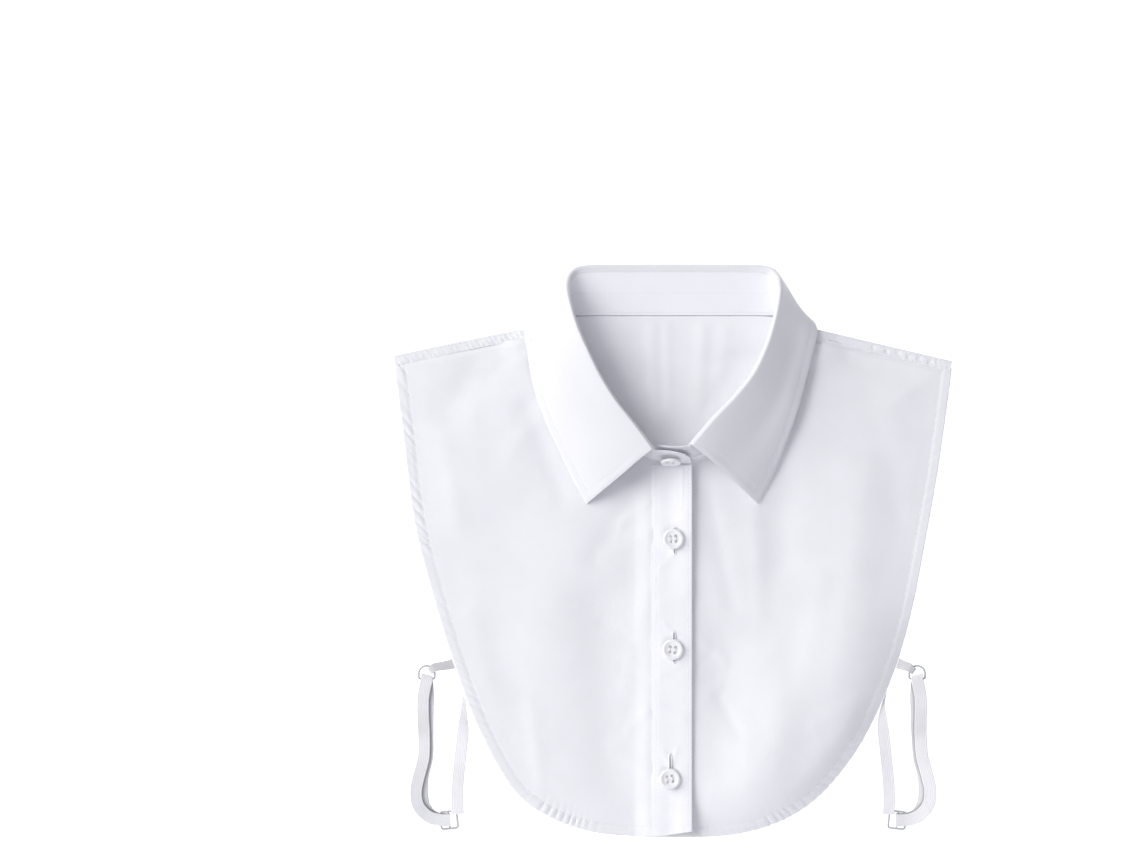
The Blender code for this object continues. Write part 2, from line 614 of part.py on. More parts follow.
def add_loop_strap(side, name, finish):
    """One band up from the slider, round the ring's bar and back beneath itself."""
    rows = evenly(LOOP, 26)
    rows[:, 0] += ring_shift(side) * smooth((rows[:, 1] + 142) / 36)
    across = band_across(rows[:, :2], rows[:, 4])
    upper = rows[:, :3]
    normal = np.cross(np.gradient(upper, axis=0), across)
    normal /= np.linalg.norm(normal, axis=1)[:, None]
    lower = upper - normal * rows[:, 3:4] + across * rows[:, 5:6]
    radius = LOOP[0][3] / 2
    bar = np.array([RING_CENTRE[0] + ring_shift(side), RING_CENTRE[1] - RING_BASE + 0.9, LOOP[0][2] - radius])
    turns = np.radians(np.array([70.0, 35.0, 0.0, -35.0, -70.0]))
    bend = np.stack([bar + radius * np.array([0.0, math.cos(a), math.sin(a)]) for a in turns])
    centre = np.concatenate([upper[::-1], bend, lower])
    vectors = np.concatenate([across[::-1], np.tile(across[0], (len(turns), 1)), across])
    add_band(name, mirrored(centre, side), mirrored(vectors, side), STRAP_WIDTH, STRAP_WALL, finish)


def edge_at(side, y):
    """The point of a front's outer edge at a height y, and the edge's direction there."""
    edge = evenly(EDGES[side], 400)
    k = int(np.argmin(np.abs(edge[:, 1] - y)))
    step = edge[k + 1] - edge[k - 1]
    return edge[k], step / np.linalg.norm(step)


def add_rear_strap(side, name, finish):
    """The band from the back's edge down to the slider."""
    point, step = edge_at(side, REAR_START_Y)
    point, step = point * (-side, 1), step * (-side, 1)
    start = point + np.array([-1.0, -0.35]) * 0.4
    rows = np.array([(start[0], start[1], 0.6, 0.0)] + REAR)
    rows = evenly(rows, 14)
    across = band_across(rows[:, :2], rows[:, 3])
    turn = smooth(np.linspace(1, -1.4, len(rows)))[:, None]
    across = across * (1 - turn) + np.append(-step, 0.0) * np.sign(np.dot(-step, across[0, :2])) * turn
    across /= np.linalg.norm(across, axis=1)[:, None]
    add_band(name, mirrored(rows[:, :3], side), mirrored(across, side), STRAP_WIDTH, STRAP_WALL, finish)


def add_tab(side, name, finish):
    """The short elastic tab from the front's edge round the ring."""
    point, step = edge_at(side, TAB_START_Y)
    point, step = point * (-side, 1), step * (-side, 1)
    out = np.array([step[1], -step[0]])
    out *= np.sign(-out[0])
    start = point + out * (GAP + 0.1)
    centre = np.array(RING_CENTRE) + (ring_shift(side), 0.0, 0.0)
    turn = math.radians(TAB_TURN)
    heading = np.array([math.cos(turn), math.sin(turn), 0.0])
    hold = centre + (0.0, -RING_LOW, 0.0) + heading * (RING_HALF - 1.5)
    start = np.array([start[0], start[1], 1.9])
    way = [start, start * 0.78 + (hold + (0.0, 0.0, 1.9)) * 0.22]
    for reach, height in ((3.4, 1.65), (1.0, 1.6), (-0.6, 1.15), (-1.1, 0.0), (-0.6, -1.15), (1.0, -1.6), (4.4, -1.6)):
        way.append(hold + heading * reach + (0.0, 0.0, height))
    way = np.array(way)
    side_on = np.array([-heading[1], heading[0], 0.0])
    across = np.tile(side_on, (len(way), 1))
    first = np.append(step * np.sign(np.dot(step, side_on[:2])), 0.0)
    across[0] = first
    across[1] = (first + side_on) / np.linalg.norm(first + side_on)
    width = np.interp(np.arange(len(way)), (0, 2, 3), (TAB_WIDTH, TAB_WIDTH - 0.8, TAB_HELD))
    add_band(name, mirrored(way, side), mirrored(across, side), width, STRAP_WALL, finish)


def frame_loop(half_x, half_y, corner, steps):
    """A rounded rectangle, from its right side round."""
    points = []
    for cx, cy, first in ((1, 1, 0), (-1, 1, 90), (-1, -1, 180), (1, -1, 270)):
        for k in range(steps + 1):
            a = math.radians(first + 90 * k / steps)
            points.append((cx * (half_x - corner) + corner * math.cos(a), cy * (half_y - corner) + corner * math.sin(a)))
    return np.array(points)


def ring_loop(steps):
    """A ring with a straight bar below and a round top."""
    points = []
    for k in range(3 * steps + 1):
        a = math.pi * k / (3 * steps)
        points.append((RING_HALF * math.cos(a), RING_HALF * math.sin(a) - RING_LOW))
    for side, first in ((-1, 180), (1, 270)):
        for k in range(steps + 1):
            a = math.radians(first + 90 * k / steps)
            x = side * (RING_HALF - RING_CORNER) + RING_CORNER * math.cos(a)
            points.append((x, RING_CORNER - RING_BASE + RING_CORNER * math.sin(a)))
    return np.array(points)


def tube_points(path, radius, sides):
    """Rings of points round a closed flat path."""
    tangent = np.roll(path, -1, axis=0) - np.roll(path, 1, axis=0)
    tangent /= np.linalg.norm(tangent, axis=1)[:, None]
    outward = np.stack([tangent[:, 1], -tangent[:, 0]], axis=1)
    angles = np.arange(sides) * math.tau / sides
    flat = path[:, None, :] + outward[:, None, :] * (radius * np.cos(angles))[None, :, None]
    height = np.broadcast_to(radius * np.sin(angles), flat.shape[:2])
    return np.concatenate([flat, height[..., None]], axis=-1)


def add_frame(name, loop, centre, turn, side, finish, bar=0.0):
    """A wire frame lying flat, with a bar of half length bar across its middle where that is set."""
    sides = 8
    rings = tube_points(loop, WIRE_RADIUS, sides)
    count = len(rings)
    faces = []
    for i in range(count):
        for k in range(sides):
            j, l = (i + 1) % count, (k + 1) % sides
            faces.append([i * sides + k, j * sides + k, j * sides + l, i * sides + l])
    made = add_object(name, rings.reshape(-1, 3), faces, finish)
    if bar:
        rod_shape = bmesh.new()
        bmesh.ops.create_cone(
            rod_shape, cap_ends=True, segments=sides, radius1=0.85 * WIRE_RADIUS * MM, radius2=0.85 * WIRE_RADIUS * MM,
            depth=2 * bar * MM,
        )
        rod_mesh = bpy.data.meshes.new(name + "_bar")
        rod_shape.to_mesh(rod_mesh)
        rod_shape.free()
        rod = bpy.data.objects.new(name + "_bar", rod_mesh)
        rod.rotation_euler = (math.radians(90), 0, 0)
        bpy.context.scene.collection.objects.link(rod)
        join = made.modifiers.new("Bar", "BOOLEAN")
        join.operation = "UNION"
        join.object = rod
        bpy.context.view_layer.update()
        whole = bpy.data.meshes.new_from_object(made.evaluated_get(bpy.context.evaluated_depsgraph_get()))
        made.modifiers.clear()
        made.data = whole
        bpy.data.objects.remove(rod)
    made.location = (-side * centre[0] * MM, centre[1] * MM, centre[2] * MM)
    made.rotation_euler = (0, 0, math.radians(-side * turn))
    return made


def add_straps(side, word, elastic, wire):
    add_tab(side, f"tab_{word}", elastic)
    centre = (RING_CENTRE[0] + ring_shift(side), RING_CENTRE[1], RING_CENTRE[2])
    add_frame(f"ring_{word}", ring_loop(4), centre, 0.0, side, wire)
    add_loop_strap(side, f"strap_loop_{word}", elastic)
    add_frame(f"slider_{word}", frame_loop(5.4, 5.6, 1.6, 4), SLIDER_CENTRE, SLIDER_TURN, side, wire, bar=5.6)
    add_rear_strap(side, f"strap_rear_{word}", elastic)


def main():
    for old in list(bpy.data.objects):
        bpy.data.objects.remove(old)
    cotton = material("cotton_poplin", COTTON, 0.85)
    interlined = material("interlined_cotton", INTERLINED, 0.8)
    elastic = material("elastic", ELASTIC, 0.75)
    plastic = material("button_plastic", BUTTON_COLOUR, 0.3)
    wire = material("coated_wire", WIRE_COLOUR, 0.35)
    add_back(cotton)
    add_front(-1, "front_left", cotton)
    add_front(1, "front_right", cotton)
    add_front_hem(-1, "hem_left", cotton)
    add_front_hem(1, "hem_right", cotton)
    add_shoulder_seam(-1, "shoulder_left", cotton)
    add_shoulder_seam(1, "shoulder_right", cotton)
    add_placket(cotton)
    add_collar(interlined)
    add_buttons(plastic)
    add_straps(-1, "left", elastic, wire)
    add_straps(1, "right", elastic, wire)


main()
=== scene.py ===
"""Looks of the detachable shirt collar: white poplin laid flat and seen from straight above.

The shapes are worked out in millimetres from the same tables as the solids, and made in metres.
Left and right are the viewer's.
"""

import math

import bmesh
import bpy
import numpy as np
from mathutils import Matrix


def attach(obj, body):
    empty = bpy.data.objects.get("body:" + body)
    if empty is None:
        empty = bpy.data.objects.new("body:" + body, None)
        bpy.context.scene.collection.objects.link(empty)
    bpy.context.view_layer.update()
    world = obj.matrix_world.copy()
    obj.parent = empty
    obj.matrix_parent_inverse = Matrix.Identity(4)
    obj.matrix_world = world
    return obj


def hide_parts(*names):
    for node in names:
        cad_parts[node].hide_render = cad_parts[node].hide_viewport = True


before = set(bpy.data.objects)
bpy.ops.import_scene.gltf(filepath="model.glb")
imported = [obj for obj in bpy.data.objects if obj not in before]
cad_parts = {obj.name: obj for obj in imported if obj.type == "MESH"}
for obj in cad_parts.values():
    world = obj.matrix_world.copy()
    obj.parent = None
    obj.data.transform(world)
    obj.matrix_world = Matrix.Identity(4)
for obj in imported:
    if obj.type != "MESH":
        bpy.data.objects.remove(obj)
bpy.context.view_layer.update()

MM = 0.001

# The solids' sizes
WALL = 1.0
COLLAR_WALL = 1.2
GAP = 0.3
LAYER = WALL + GAP
HEM_WIDTH = 7.5
HEM_WALL = 1.5
PUCKER_HEIGHT = 0.35
SHOULDER_SEAM_WIDTH = 6.5
SHOULDER_SEAM_WALL = 2 * WALL + GAP
FRONT_EDGE_X = 12.2
PLACKET_X = -14.3
UNDERLAP_X = -14.0
PLACKET_SLACK = 0.15
CLIMB = 12.0
HEM_LAP = 1.2
BUTTON_RADIUS = 6.75
BUTTON_WALL = 2.2
STRAP_WIDTH = 8.0
STRAP_WALL = 0.8
RING_HALF = 5.2
RING_CORNER = 1.3
RING_BASE = 4.2
RING_LOW = 1.0
WIRE_RADIUS = 0.7
TAB_WIDTH = 7.0

LEFT_EDGE = [
    (-180.0, 119.6), (-174.5, 75.4), (-167.7, 21.5), (-157.0, -22.0), (-142.4, -70.0), (-126.0, -114.0),
    (-103.5, -154.0), (-80.0, -172.0), (-54.0, -181.3), (-28.0, -184.4), (-7.8, -184.4), (12.2, -181.2),
]
RIGHT_EDGE = [
    (180.0, 115.9), (172.0, 58.0), (163.5, 9.0), (153.2, -43.0), (140.2, -84.8), (120.8, -125.5),
    (97.0, -156.0), (74.0, -172.6), (47.7, -181.8), (20.0, -185.0), (-14.0, -185.0),
]
LEFT_SHOULDER = [(-180.7, 126.3), (-138.0, 135.4), (-96.0, 143.6), (-74.5, 146.3)]
RIGHT_SHOULDER = [(180.7, 122.6), (138.0, 132.6), (96.0, 142.4), (74.5, 146.3)]
NECK = [(0.0, 57.3), (14.0, 59.2), (30.0, 67.0), (45.0, 80.0), (57.0, 95.0), (66.0, 112.0), (71.5, 127.0), (74.0, 139.2)]
BACK_NECK = [(-73.6, 139.5), (-71.2, 145.8), (-62.0, 150.2), (-30.0, 150.6), (0.0, 150.6)]
FOLDS = [
    (-107.0, 124.0, -152.0, 98.0, 13.0, -1.4),
    (-62.0, 20.0, -80.0, -60.0, 22.0, 1.2),
    (-120.0, 10.0, -105.0, -90.0, 20.0, -1.2),
    (-45.0, -40.0, -40.0, -150.0, 16.0, -1.3),
    (100.0, 133.0, 121.0, 123.0, 7.0, -1.6),
    (70.0, 50.0, 70.0, -10.0, 12.0, -1.2),
    (70.0, -98.0, 66.0, -156.0, 13.0, 1.3),
    (112.0, -112.0, 80.0, -158.0, 17.0, -2.2),
    (36.0, -60.0, 30.0, -140.0, 14.0, -1.2),
    (120.0, 40.0, 122.0, -60.0, 22.0, 1.1),
]
PUFF = 2.6
PUFF_EDGE = 48.0
PUFF_NECK = 26.0
EDGE_LIFT = [(-185.0, 2.4), (-150.0, 1.6), (-110.0, 0.3), (-35.0, 0.3), (0.0, 1.3), (30.0, 2.2), (58.0, 2.6)]
LEAF_RISE = 2.0
RISE_FROM_Y = 122.0
RISE_LENGTH = 14.0
RISE_TO_X = 108.0
RISE_WIDTH = 16.0
FRONT_LEAD = 7.0
LEFT_COLLAR = [
    (-14.0, 59.0, 5.6, -12.5, 66.8, 27.5, -33.5, 49.2, 20.0, -56.2, 30.2, 0.3, 1.7),
    (-30.0, 67.0, 4.0, -24.0, 82.0, 28.0, -45.5, 64.5, 20.5, -66.4, 49.4, 0.3, 1.7),
    (-45.0, 80.0, 4.0, -36.2, 97.4, 28.2, -57.5, 83.0, 20.5, -76.0, 69.5, 0.3, 1.7),
    (-57.0, 95.0, 4.0, -46.0, 113.0, 28.0, -67.5, 100.0, 20.0, -84.3, 88.0, 0.3, 1.7),
    (-66.0, 112.0, 4.2, -54.0, 129.5, 27.0, -74.5, 117.5, 19.0, -90.6, 107.0, 0.3, 1.7),
    (-71.5, 127.0, 5.2, -60.3, 144.0, 25.0, -79.5, 133.5, 16.5, -93.8, 125.5, 0.3, 1.7),
    (-74.2, 138.5, 6.2, -64.5, 158.0, 21.5, -82.0, 148.5, 13.5, -95.8, 142.6, 0.6, 1.7),
    (-73.4, 147.2, 5.4, -66.9, 170.0, 16.0, -78.5, 161.5, 8.8, -89.5, 149.2, 0.0, 1.7),
    (-67.5, 151.6, 3.4, -65.3, 179.2, 9.0, -71.0, 172.5, 3.6, -78.5, 146.0, 0.0, 1.6),
    (-56.0, 152.0, 2.5, -57.0, 184.0, 5.0, -59.0, 176.5, 0.9, -61.0, 142.6, 0.0, 1.5),
    (-30.0, 152.0, 2.4, -30.0, 184.6, 3.8, -30.5, 176.5, 0.6, -31.0, 141.6, 0.0, 1.5),
]
MIDDLE_BACK = (0.0, 152.0, 2.4, 0.0, 184.7, 3.6, 0.0, 176.5, 0.6, 0.0, 141.6, 0.0, 1.5)
RIGHT_COLLAR = [
    (14.0, 60.4, 4.6, 9.5, 69.6, 27.5, 33.0, 51.0, 19.0, 54.8, 30.2, 0.3, 2.6),
    (30.0, 67.6, 4.0, 22.5, 85.0, 28.5, 46.5, 68.0, 18.5, 65.0, 49.6, 1.2, 2.8),
    (45.0, 80.0, 4.0, 37.0, 100.0, 28.5, 57.5, 84.0, 17.6, 73.0, 70.0, 3.0, 2.6),
    (57.0, 95.0, 4.0, 48.5, 114.0, 28.0, 66.5, 100.0, 16.8, 80.4, 91.0, 4.5, 2.3),
    (66.0, 112.0, 4.2, 56.5, 129.5, 27.0, 72.5, 118.0, 16.0, 85.9, 111.0, 4.5, 2.1),
    (71.5, 127.0, 5.2, 61.8, 144.0, 25.0, 77.0, 134.0, 14.4, 90.0, 127.5, 3.0, 1.9),
    (74.2, 138.5, 6.2, 65.3, 158.0, 21.5, 80.5, 149.0, 13.5, 93.0, 142.6, 0.9, 1.8),
    (73.4, 147.2, 5.4, 66.9, 170.0, 16.0, 78.0, 161.5, 8.8, 88.0, 149.2, 0.0, 1.7),
    (67.5, 151.6, 3.4, 65.3, 179.2, 9.0, 71.0, 172.5, 3.6, 78.5, 146.0, 0.0, 1.6),
    (56.0, 152.0, 2.5, 57.0, 184.0, 5.0, 59.0, 176.5, 0.9, 61.0, 142.6, 0.0, 1.5),
    (30.0, 152.0, 2.4, 30.0, 184.6, 3.8, 30.5, 176.5, 0.6, 31.0, 141.6, 0.0, 1.5),
]
ON_FRONTS = 7
LEAF_SEAM = 4.5
OUTER_END = [
    (-2.0, 57.2, 7.0, -2.5, 64.6, 23.5), (6.0, 56.8, 7.4, 5.6, 63.0, 22.0), (11.8, 56.6, 7.6, 10.6, 60.6, 16.5),
]
INNER_END = [
    (4.0, 59.9, 4.4, 2.0, 67.4, 24.0), (-5.0, 60.3, 4.6, -5.0, 67.8, 23.5), (-11.0, 61.6, 5.0, -10.2, 68.2, 19.0),
]
LOOP = [
    (-159.2, -83.4, 3.8, 3.2, 0.0, 0.0), (-161.4, -94.0, 2.6, 1.9, 0.0, 2.4), (-161.6, -106.0, 2.3, 1.7, 0.0, 3.0),
    (-161.0, -119.0, 2.6, 1.6, 4.0, 1.2), (-161.2, -133.0, 4.0, 1.6, 18.0, 0.8), (-163.8, -144.0, 5.8, 1.6, 32.0, 2.4),
    (-166.0, -154.0, 7.0, 1.7, 38.0, 4.0), (-165.0, -163.5, 6.2, 1.8, 32.0, 2.8), (-159.4, -170.8, 4.6, 2.4, 16.0, 0.6),
    (-152.0, -173.8, 3.7, 3.1, 0.0, 0.0), (-144.0, -174.2, 3.6, 3.0, 0.0, 0.0),
]
REAR = [
    (-134.9, -104.5, 0.6, 0.0), (-135.8, -117.0, 1.5, -12.0), (-137.4, -132.0, 2.4, -22.0),
    (-139.0, -148.0, 2.6, -18.0), (-139.5, -161.0, 3.2, 0.0), (-139.1, -170.3, 3.7, 0.0),
]
REAR_START_Y = -93.0
TAB_START_Y = -72.5
TAB_TURN = 38.0
TAB_HELD = 4.8
RIGHT_RING_IN = 1.5
RING_CENTRE = (-159.2, -78.6, 2.2)
SLIDER_CENTRE = (-144.8, -174.0, 2.1)
SLIDER_TURN = 6.0
PLACKET_BUTTONS = [(0.0, 7.8), (-0.4, -63.7), (-2.2, -147.2)]
STAND_BUTTON = (-1.7, 60.4, 14.5)
STAND_BUTTON_LEAN = 17.0

# Sizes that only the looks need
CLOTH = 0.45  # thickness of one layer of poplin
FRONT_COLUMNS = 340
FRONT_ROWS = 90
STITCH_LENGTH = 1.9
STITCH_PITCH = 2.5
STITCH_RADIUS = 0.14
BUTTONHOLES = [(1.0, 15.2, -2.2), (0.6, -52.0, -72.6), (-1.8, -130.8, -149.0)]

# Creases that are too slight for the solids: x1, y1, x2, y2, half width, height
CREASES = [
    (-62.0, 116.0, -104.0, 66.0, 7.0, 0.5),
    (-96.0, 132.0, -120.0, 112.0, 4.0, -0.35),
    (-30.0, 34.0, -50.0, -6.0, 7.0, -0.5),
    (-17.0, 10.0, -44.0, -2.0, 4.5, 0.35),
    (-17.0, -60.0, -46.0, -48.0, 4.0, -0.35),
    (-17.0, -142.0, -38.0, -128.0, 5.0, 0.4),
    (-18.0, -30.0, -30.0, -88.0, 6.0, 0.4),
    (-150.0, 84.0, -140.0, 20.0, 8.0, 0.5),
    (-92.0, -96.0, -86.0, -150.0, 5.0, 0.4),
    (-130.0, -40.0, -112.0, -110.0, 7.0, 0.35),
    (30.0, -94.0, 42.0, -118.0, 4.5, -0.5),
    (26.0, -128.0, 42.0, -136.0, 4.0, -0.35),
    (15.0, -76.0, 26.0, -65.0, 2.8, -0.35),
    (22.0, 38.0, 38.0, -34.0, 6.0, -0.5),
    (52.0, 40.0, 56.0, -40.0, 6.0, 0.4),
    (90.0, 118.0, 150.0, 104.0, 7.0, 0.45),
    (128.0, 100.0, 146.0, 20.0, 9.0, -0.4),
    (96.0, -20.0, 84.0, -86.0, 8.0, 0.4),
    (92.0, -112.0, 120.0, -96.0, 5.0, 0.3),
    (62.0, -84.0, 50.0, -152.0, 18.0, 1.2),
    (112.0, -112.0, 80.0, -158.0, 17.0, 2.0),
    (-127.0, 120.0, -147.0, 86.0, 10.0, -0.9),
    (-60.0, 104.0, -88.0, 124.0, 8.0, -0.5),
    (-71.0, 34.0, -94.0, 92.0, 7.0, -0.8),
    (-17.0, 31.0, -34.0, 17.0, 2.6, 0.4),
    (-17.0, -82.0, -33.0, -76.0, 2.6, -0.35),
    (-17.0, -104.0, -29.0, -116.0, 2.6, 0.35),
    (18.0, -58.0, 34.0, -70.0, 2.8, 0.4),
    (18.0, -96.0, 30.0, -88.0, 2.6, 0.35),
]
# The billow of the right front, steepest where it comes down to the hem: its line, reach, rise and run
BILLOW_LINE = [(128.0, -80.0), (108.0, -118.0), (86.0, -146.0), (66.0, -160.0)]
BILLOW_REACH = 46.0
BILLOW_RISE = 9.5
BILLOW_RUN = 21.0
PLACKET_SLOPE = (16.0, 0.7)  # the left front rises beside the placket: over this width, by this much


def smooth(value):
    value = np.clip(value, 0.0, 1.0)
    return value * value * (3 - 2 * value)


def along(rows, places):
    """The rows at places counted in rows, on a smooth curve through them."""
    rows = np.asarray(rows, float)
    slopes = np.gradient(rows, axis=0)
    places = np.clip(np.asarray(places, float), 0, len(rows) - 1)
    first = np.minimum(places.astype(int), len(rows) - 2)
    t = (places - first).reshape(-1, *[1] * (rows.ndim - 1))
    keep = 2 * t**3 - 3 * t**2 + 1
    start = (t**3 - 2 * t**2 + t) * slopes[first]
    end = (t**3 - t**2) * slopes[first + 1]
    return keep * rows[first] + start + (1 - keep) * rows[first + 1] + end


def run_of(points):
    steps = np.linalg.norm(np.diff(points, axis=0), axis=1)
    return np.concatenate([[0.0], np.cumsum(steps)])


def evenly(rows, count):
    """count points at even distances on the smooth curve through the rows."""
    fine = along(rows, np.linspace(0, len(rows) - 1, 24 * len(rows)))
    run = run_of(fine)
    places = np.linspace(0, run[-1], count)
    return np.stack([np.interp(places, run, fine[:, k]) for k in range(fine.shape[1])], axis=1)


def inset(points, distance, side):
    tangent = np.gradient(points, axis=0)
    tangent /= np.linalg.norm(tangent, axis=1)[:, None]
    return points + side * distance * np.stack([-tangent[:, 1], tangent[:, 0]], axis=1)


def nearest(x, y, line):
    """Distance from each point to a line of many points."""
    flat = np.stack([np.ravel(x), np.ravel(y)], axis=1)
    best = np.full(len(flat), np.inf)
    for start, step in zip(line[:-1], np.diff(line, axis=0)):
        reach = flat - start
        share = np.clip((reach @ step) / max(float(step @ step), 1e-9), 0, 1)
        best = np.minimum(best, ((reach - share[:, None] * step) ** 2).sum(axis=1))
    return np.sqrt(best).reshape(np.shape(x))


EDGES = {-1: LEFT_EDGE, 1: RIGHT_EDGE}
SHOULDERS = {-1: LEFT_SHOULDER, 1: RIGHT_SHOULDER}
OUTLINE = np.concatenate([
    evenly(LEFT_SHOULDER, 10)[::-1], evenly(LEFT_EDGE, 50), evenly(RIGHT_EDGE[:-1], 50)[::-1], evenly(RIGHT_SHOULDER, 10),
])
NECK_LINE = evenly(NECK, 30)
NECK_OUTLINE = np.concatenate([(NECK_LINE * (-1, 1))[::-1], NECK_LINE])


def fold_height(x, y, folds):
    height = np.zeros(np.shape(x))
    for x1, y1, x2, y2, half_width, top in folds:
        distance = nearest(x, y, np.array([(x1, y1), (x2, y2)]))
        height = height + top * np.exp(-((distance / half_width) ** 2))
    return height


def relief(x, y):
    free = smooth(nearest(x, y, OUTLINE) / PUFF_EDGE) * smooth(nearest(x, y, NECK_OUTLINE) / PUFF_NECK)
    return free * np.maximum(PUFF + fold_height(x, y, FOLDS), 0.0)


def back_under(x, y, lead=0.0):
    from_side = smooth((RISE_TO_X + lead - np.abs(x)) / RISE_WIDTH)
    return LEAF_RISE * smooth((y - RISE_FROM_Y + lead) / RISE_LENGTH) * from_side


def right_under(x, y):
    return back_under(x, y, FRONT_LEAD) + LAYER + relief(x, y)


def left_under(x, y):
    climb = smooth((x - UNDERLAP_X + CLIMB) / CLIMB)
    lap = LAYER + HEM_LAP * smooth((-158.0 - y) / 12.0)
    heights, lifts = zip(*EDGE_LIFT)
    lift = np.interp(y, heights, lifts) * smooth((x + 4.0) / (FRONT_EDGE_X + 4.0))
    return right_under(x, y) + climb * lap + lift


UNDERSIDE = {-1: left_under, 1: right_under}


def placket_under(x, y):
    return left_under(x, y) + LAYER + PLACKET_SLACK + (HEM_WALL - WALL + PUCKER_HEIGHT) * smooth((-166.0 - y) / 7.0)


def blotch(x, y, scale, seed):
    """Smooth seeded unevenness between -1 and 1, with spots about scale wide."""
    table = np.random.RandomState(seed).uniform(-1, 1, (64, 64))
    u, v = np.asarray(x) / scale + 31.3, np.asarray(y) / scale + 29.7
    i, j = np.floor(u).astype(int), np.floor(v).astype(int)
    a, b = smooth(u - i), smooth(v - j)
    i, j, k, l = i % 64, j % 64, (i + 1) % 64, (j + 1) % 64
    low = table[i, j] * (1 - a) + table[k, j] * a
    high = table[i, l] * (1 - a) + table[k, l] * a
    return low * (1 - b) + high * b


def uneven(x, y, seed):
    """Slight waviness of cloth that has been handled."""
    return 0.3 * blotch(x, y, 46.0, seed) + 0.14 * blotch(x, y, 17.0, seed + 1) + 0.03 * blotch(x, y, 7.0, seed + 2)


# Materials


def nodes_of(name):
    made = bpy.data.materials.new(name)
    made.use_nodes = True
    tree = made.node_tree
    return made, tree, tree.nodes["Principled BSDF"]


def woven(name, colour, pitch, weave_depth, roughness, sheen=0.25, tint=0.035, slub=0.5, rib=False, shaded=False):
    """A cloth: threads along and across its UV map, whose unit is a metre, with slubs and a faint unevenness of tone,
    and painted shade that darkens its colour between the threads.
    """
    made, tree, shader = nodes_of(name)
    new, link = tree.nodes.new, tree.links.new
    place = new("ShaderNodeUVMap")
    place.uv_map = "cloth"
    waves = []
    for direction, thread in (("X", pitch), ("Y", pitch * (3.2 if rib else 1.12))):
        wave = new("ShaderNodeTexWave")
        wave.wave_type = "BANDS"
        wave.bands_direction = direction
        wave.wave_profile = "SIN"
        wave.inputs["Scale"].default_value = math.tau / (20 * thread * MM)
        wave.inputs["Distortion"].default_value = 0.35
        wave.inputs["Detail"].default_value = 1.0
        link(place.outputs["UV"], wave.inputs["Vector"])
        waves.append(wave)
    weave = new("ShaderNodeMath")
    weave.operation = "MULTIPLY"
    link(waves[0].outputs["Fac"], weave.inputs[0])
    link(waves[1].outputs["Fac"], weave.inputs[1])
    stretch = new("ShaderNodeMapping")
    stretch.inputs["Scale"].default_value = (60.0, 900.0, 1.0)
    link(place.outputs["UV"], stretch.inputs["Vector"])
    threads = new("ShaderNodeTexNoise")
    threads.inputs["Scale"].default_value = 1.0
    threads.inputs["Detail"].default_value = 3.0
    link(stretch.outputs["Vector"], threads.inputs["Vector"])
    coarse = new("ShaderNodeTexNoise")
    coarse.inputs["Scale"].default_value = 38.0
    coarse.inputs["Detail"].default_value = 4.0
    coarse.inputs["Roughness"].default_value = 0.6
    where = new("ShaderNodeTexCoord")
    link(where.outputs["Object"], coarse.inputs["Vector"])
    lower = new("ShaderNodeBump")
    lower.inputs["Strength"].default_value = slub
    lower.inputs["Distance"].default_value = 0.00006
    link(threads.outputs["Fac"], lower.inputs["Height"])
    upper = new("ShaderNodeBump")
    upper.inputs["Strength"].default_value = 0.6
    upper.inputs["Distance"].default_value = weave_depth * MM
    link(weave.outputs["Value"], upper.inputs["Height"])
    link(lower.outputs["Normal"], upper.inputs["Normal"])
    link(upper.outputs["Normal"], shader.inputs["Normal"])
    tones = new("ShaderNodeValToRGB")
    tones.color_ramp.elements[0].position = 0.3
    tones.color_ramp.elements[1].position = 0.7
    tones.color_ramp.elements[0].color = (*[c * (1 - tint) for c in colour], 1)
    tones.color_ramp.elements[1].color = (*colour, 1)
    link(coarse.outputs["Fac"], tones.inputs["Fac"])
    # Painted shade: the colour is darkened between the threads of the weave, more on the ribbed tape.
    gap_shade_mix = new("ShaderNodeMix")
    gap_shade_mix.data_type = "RGBA"
    gap_shade_mix.blend_type = "MULTIPLY"
    gap_shade_mix.inputs["Factor"].default_value = 1.0
    thread_gap_shade = new("ShaderNodeValToRGB")
    thread_gap_shade.color_ramp.elements[0].color = (0.9, 0.9, 0.91, 1) if rib else (0.955, 0.955, 0.965, 1)
    thread_gap_shade.color_ramp.elements[1].color = (1, 1, 1, 1)
    thread_gap_shade.color_ramp.elements[1].position = 0.45
    link(weave.outputs["Value"], thread_gap_shade.inputs["Fac"])
    link(tones.outputs["Color"], gap_shade_mix.inputs["A"])
    link(thread_gap_shade.outputs["Color"], gap_shade_mix.inputs["B"])
    last = gap_shade_mix
    if shaded:
        # The 'shade' attribute multiplies in painted shade and painted shadow, set per point on the tape.
        shade = new("ShaderNodeAttribute")
        shade.attribute_name = "shade"
        last = new("ShaderNodeMix")
        last.data_type = "RGBA"
        last.blend_type = "MULTIPLY"
        last.inputs["Factor"].default_value = 1.0
        link(gap_shade_mix.outputs["Result"], last.inputs["A"])
        link(shade.outputs["Color"], last.inputs["B"])
    link(last.outputs["Result"], shader.inputs["Base Color"])
    shader.inputs["Roughness"].default_value = roughness
    shader.inputs["Sheen Weight"].default_value = sheen
    shader.inputs["Sheen Roughness"].default_value = 0.5
    shader.inputs["Specular IOR Level"].default_value = 0.25
    return made


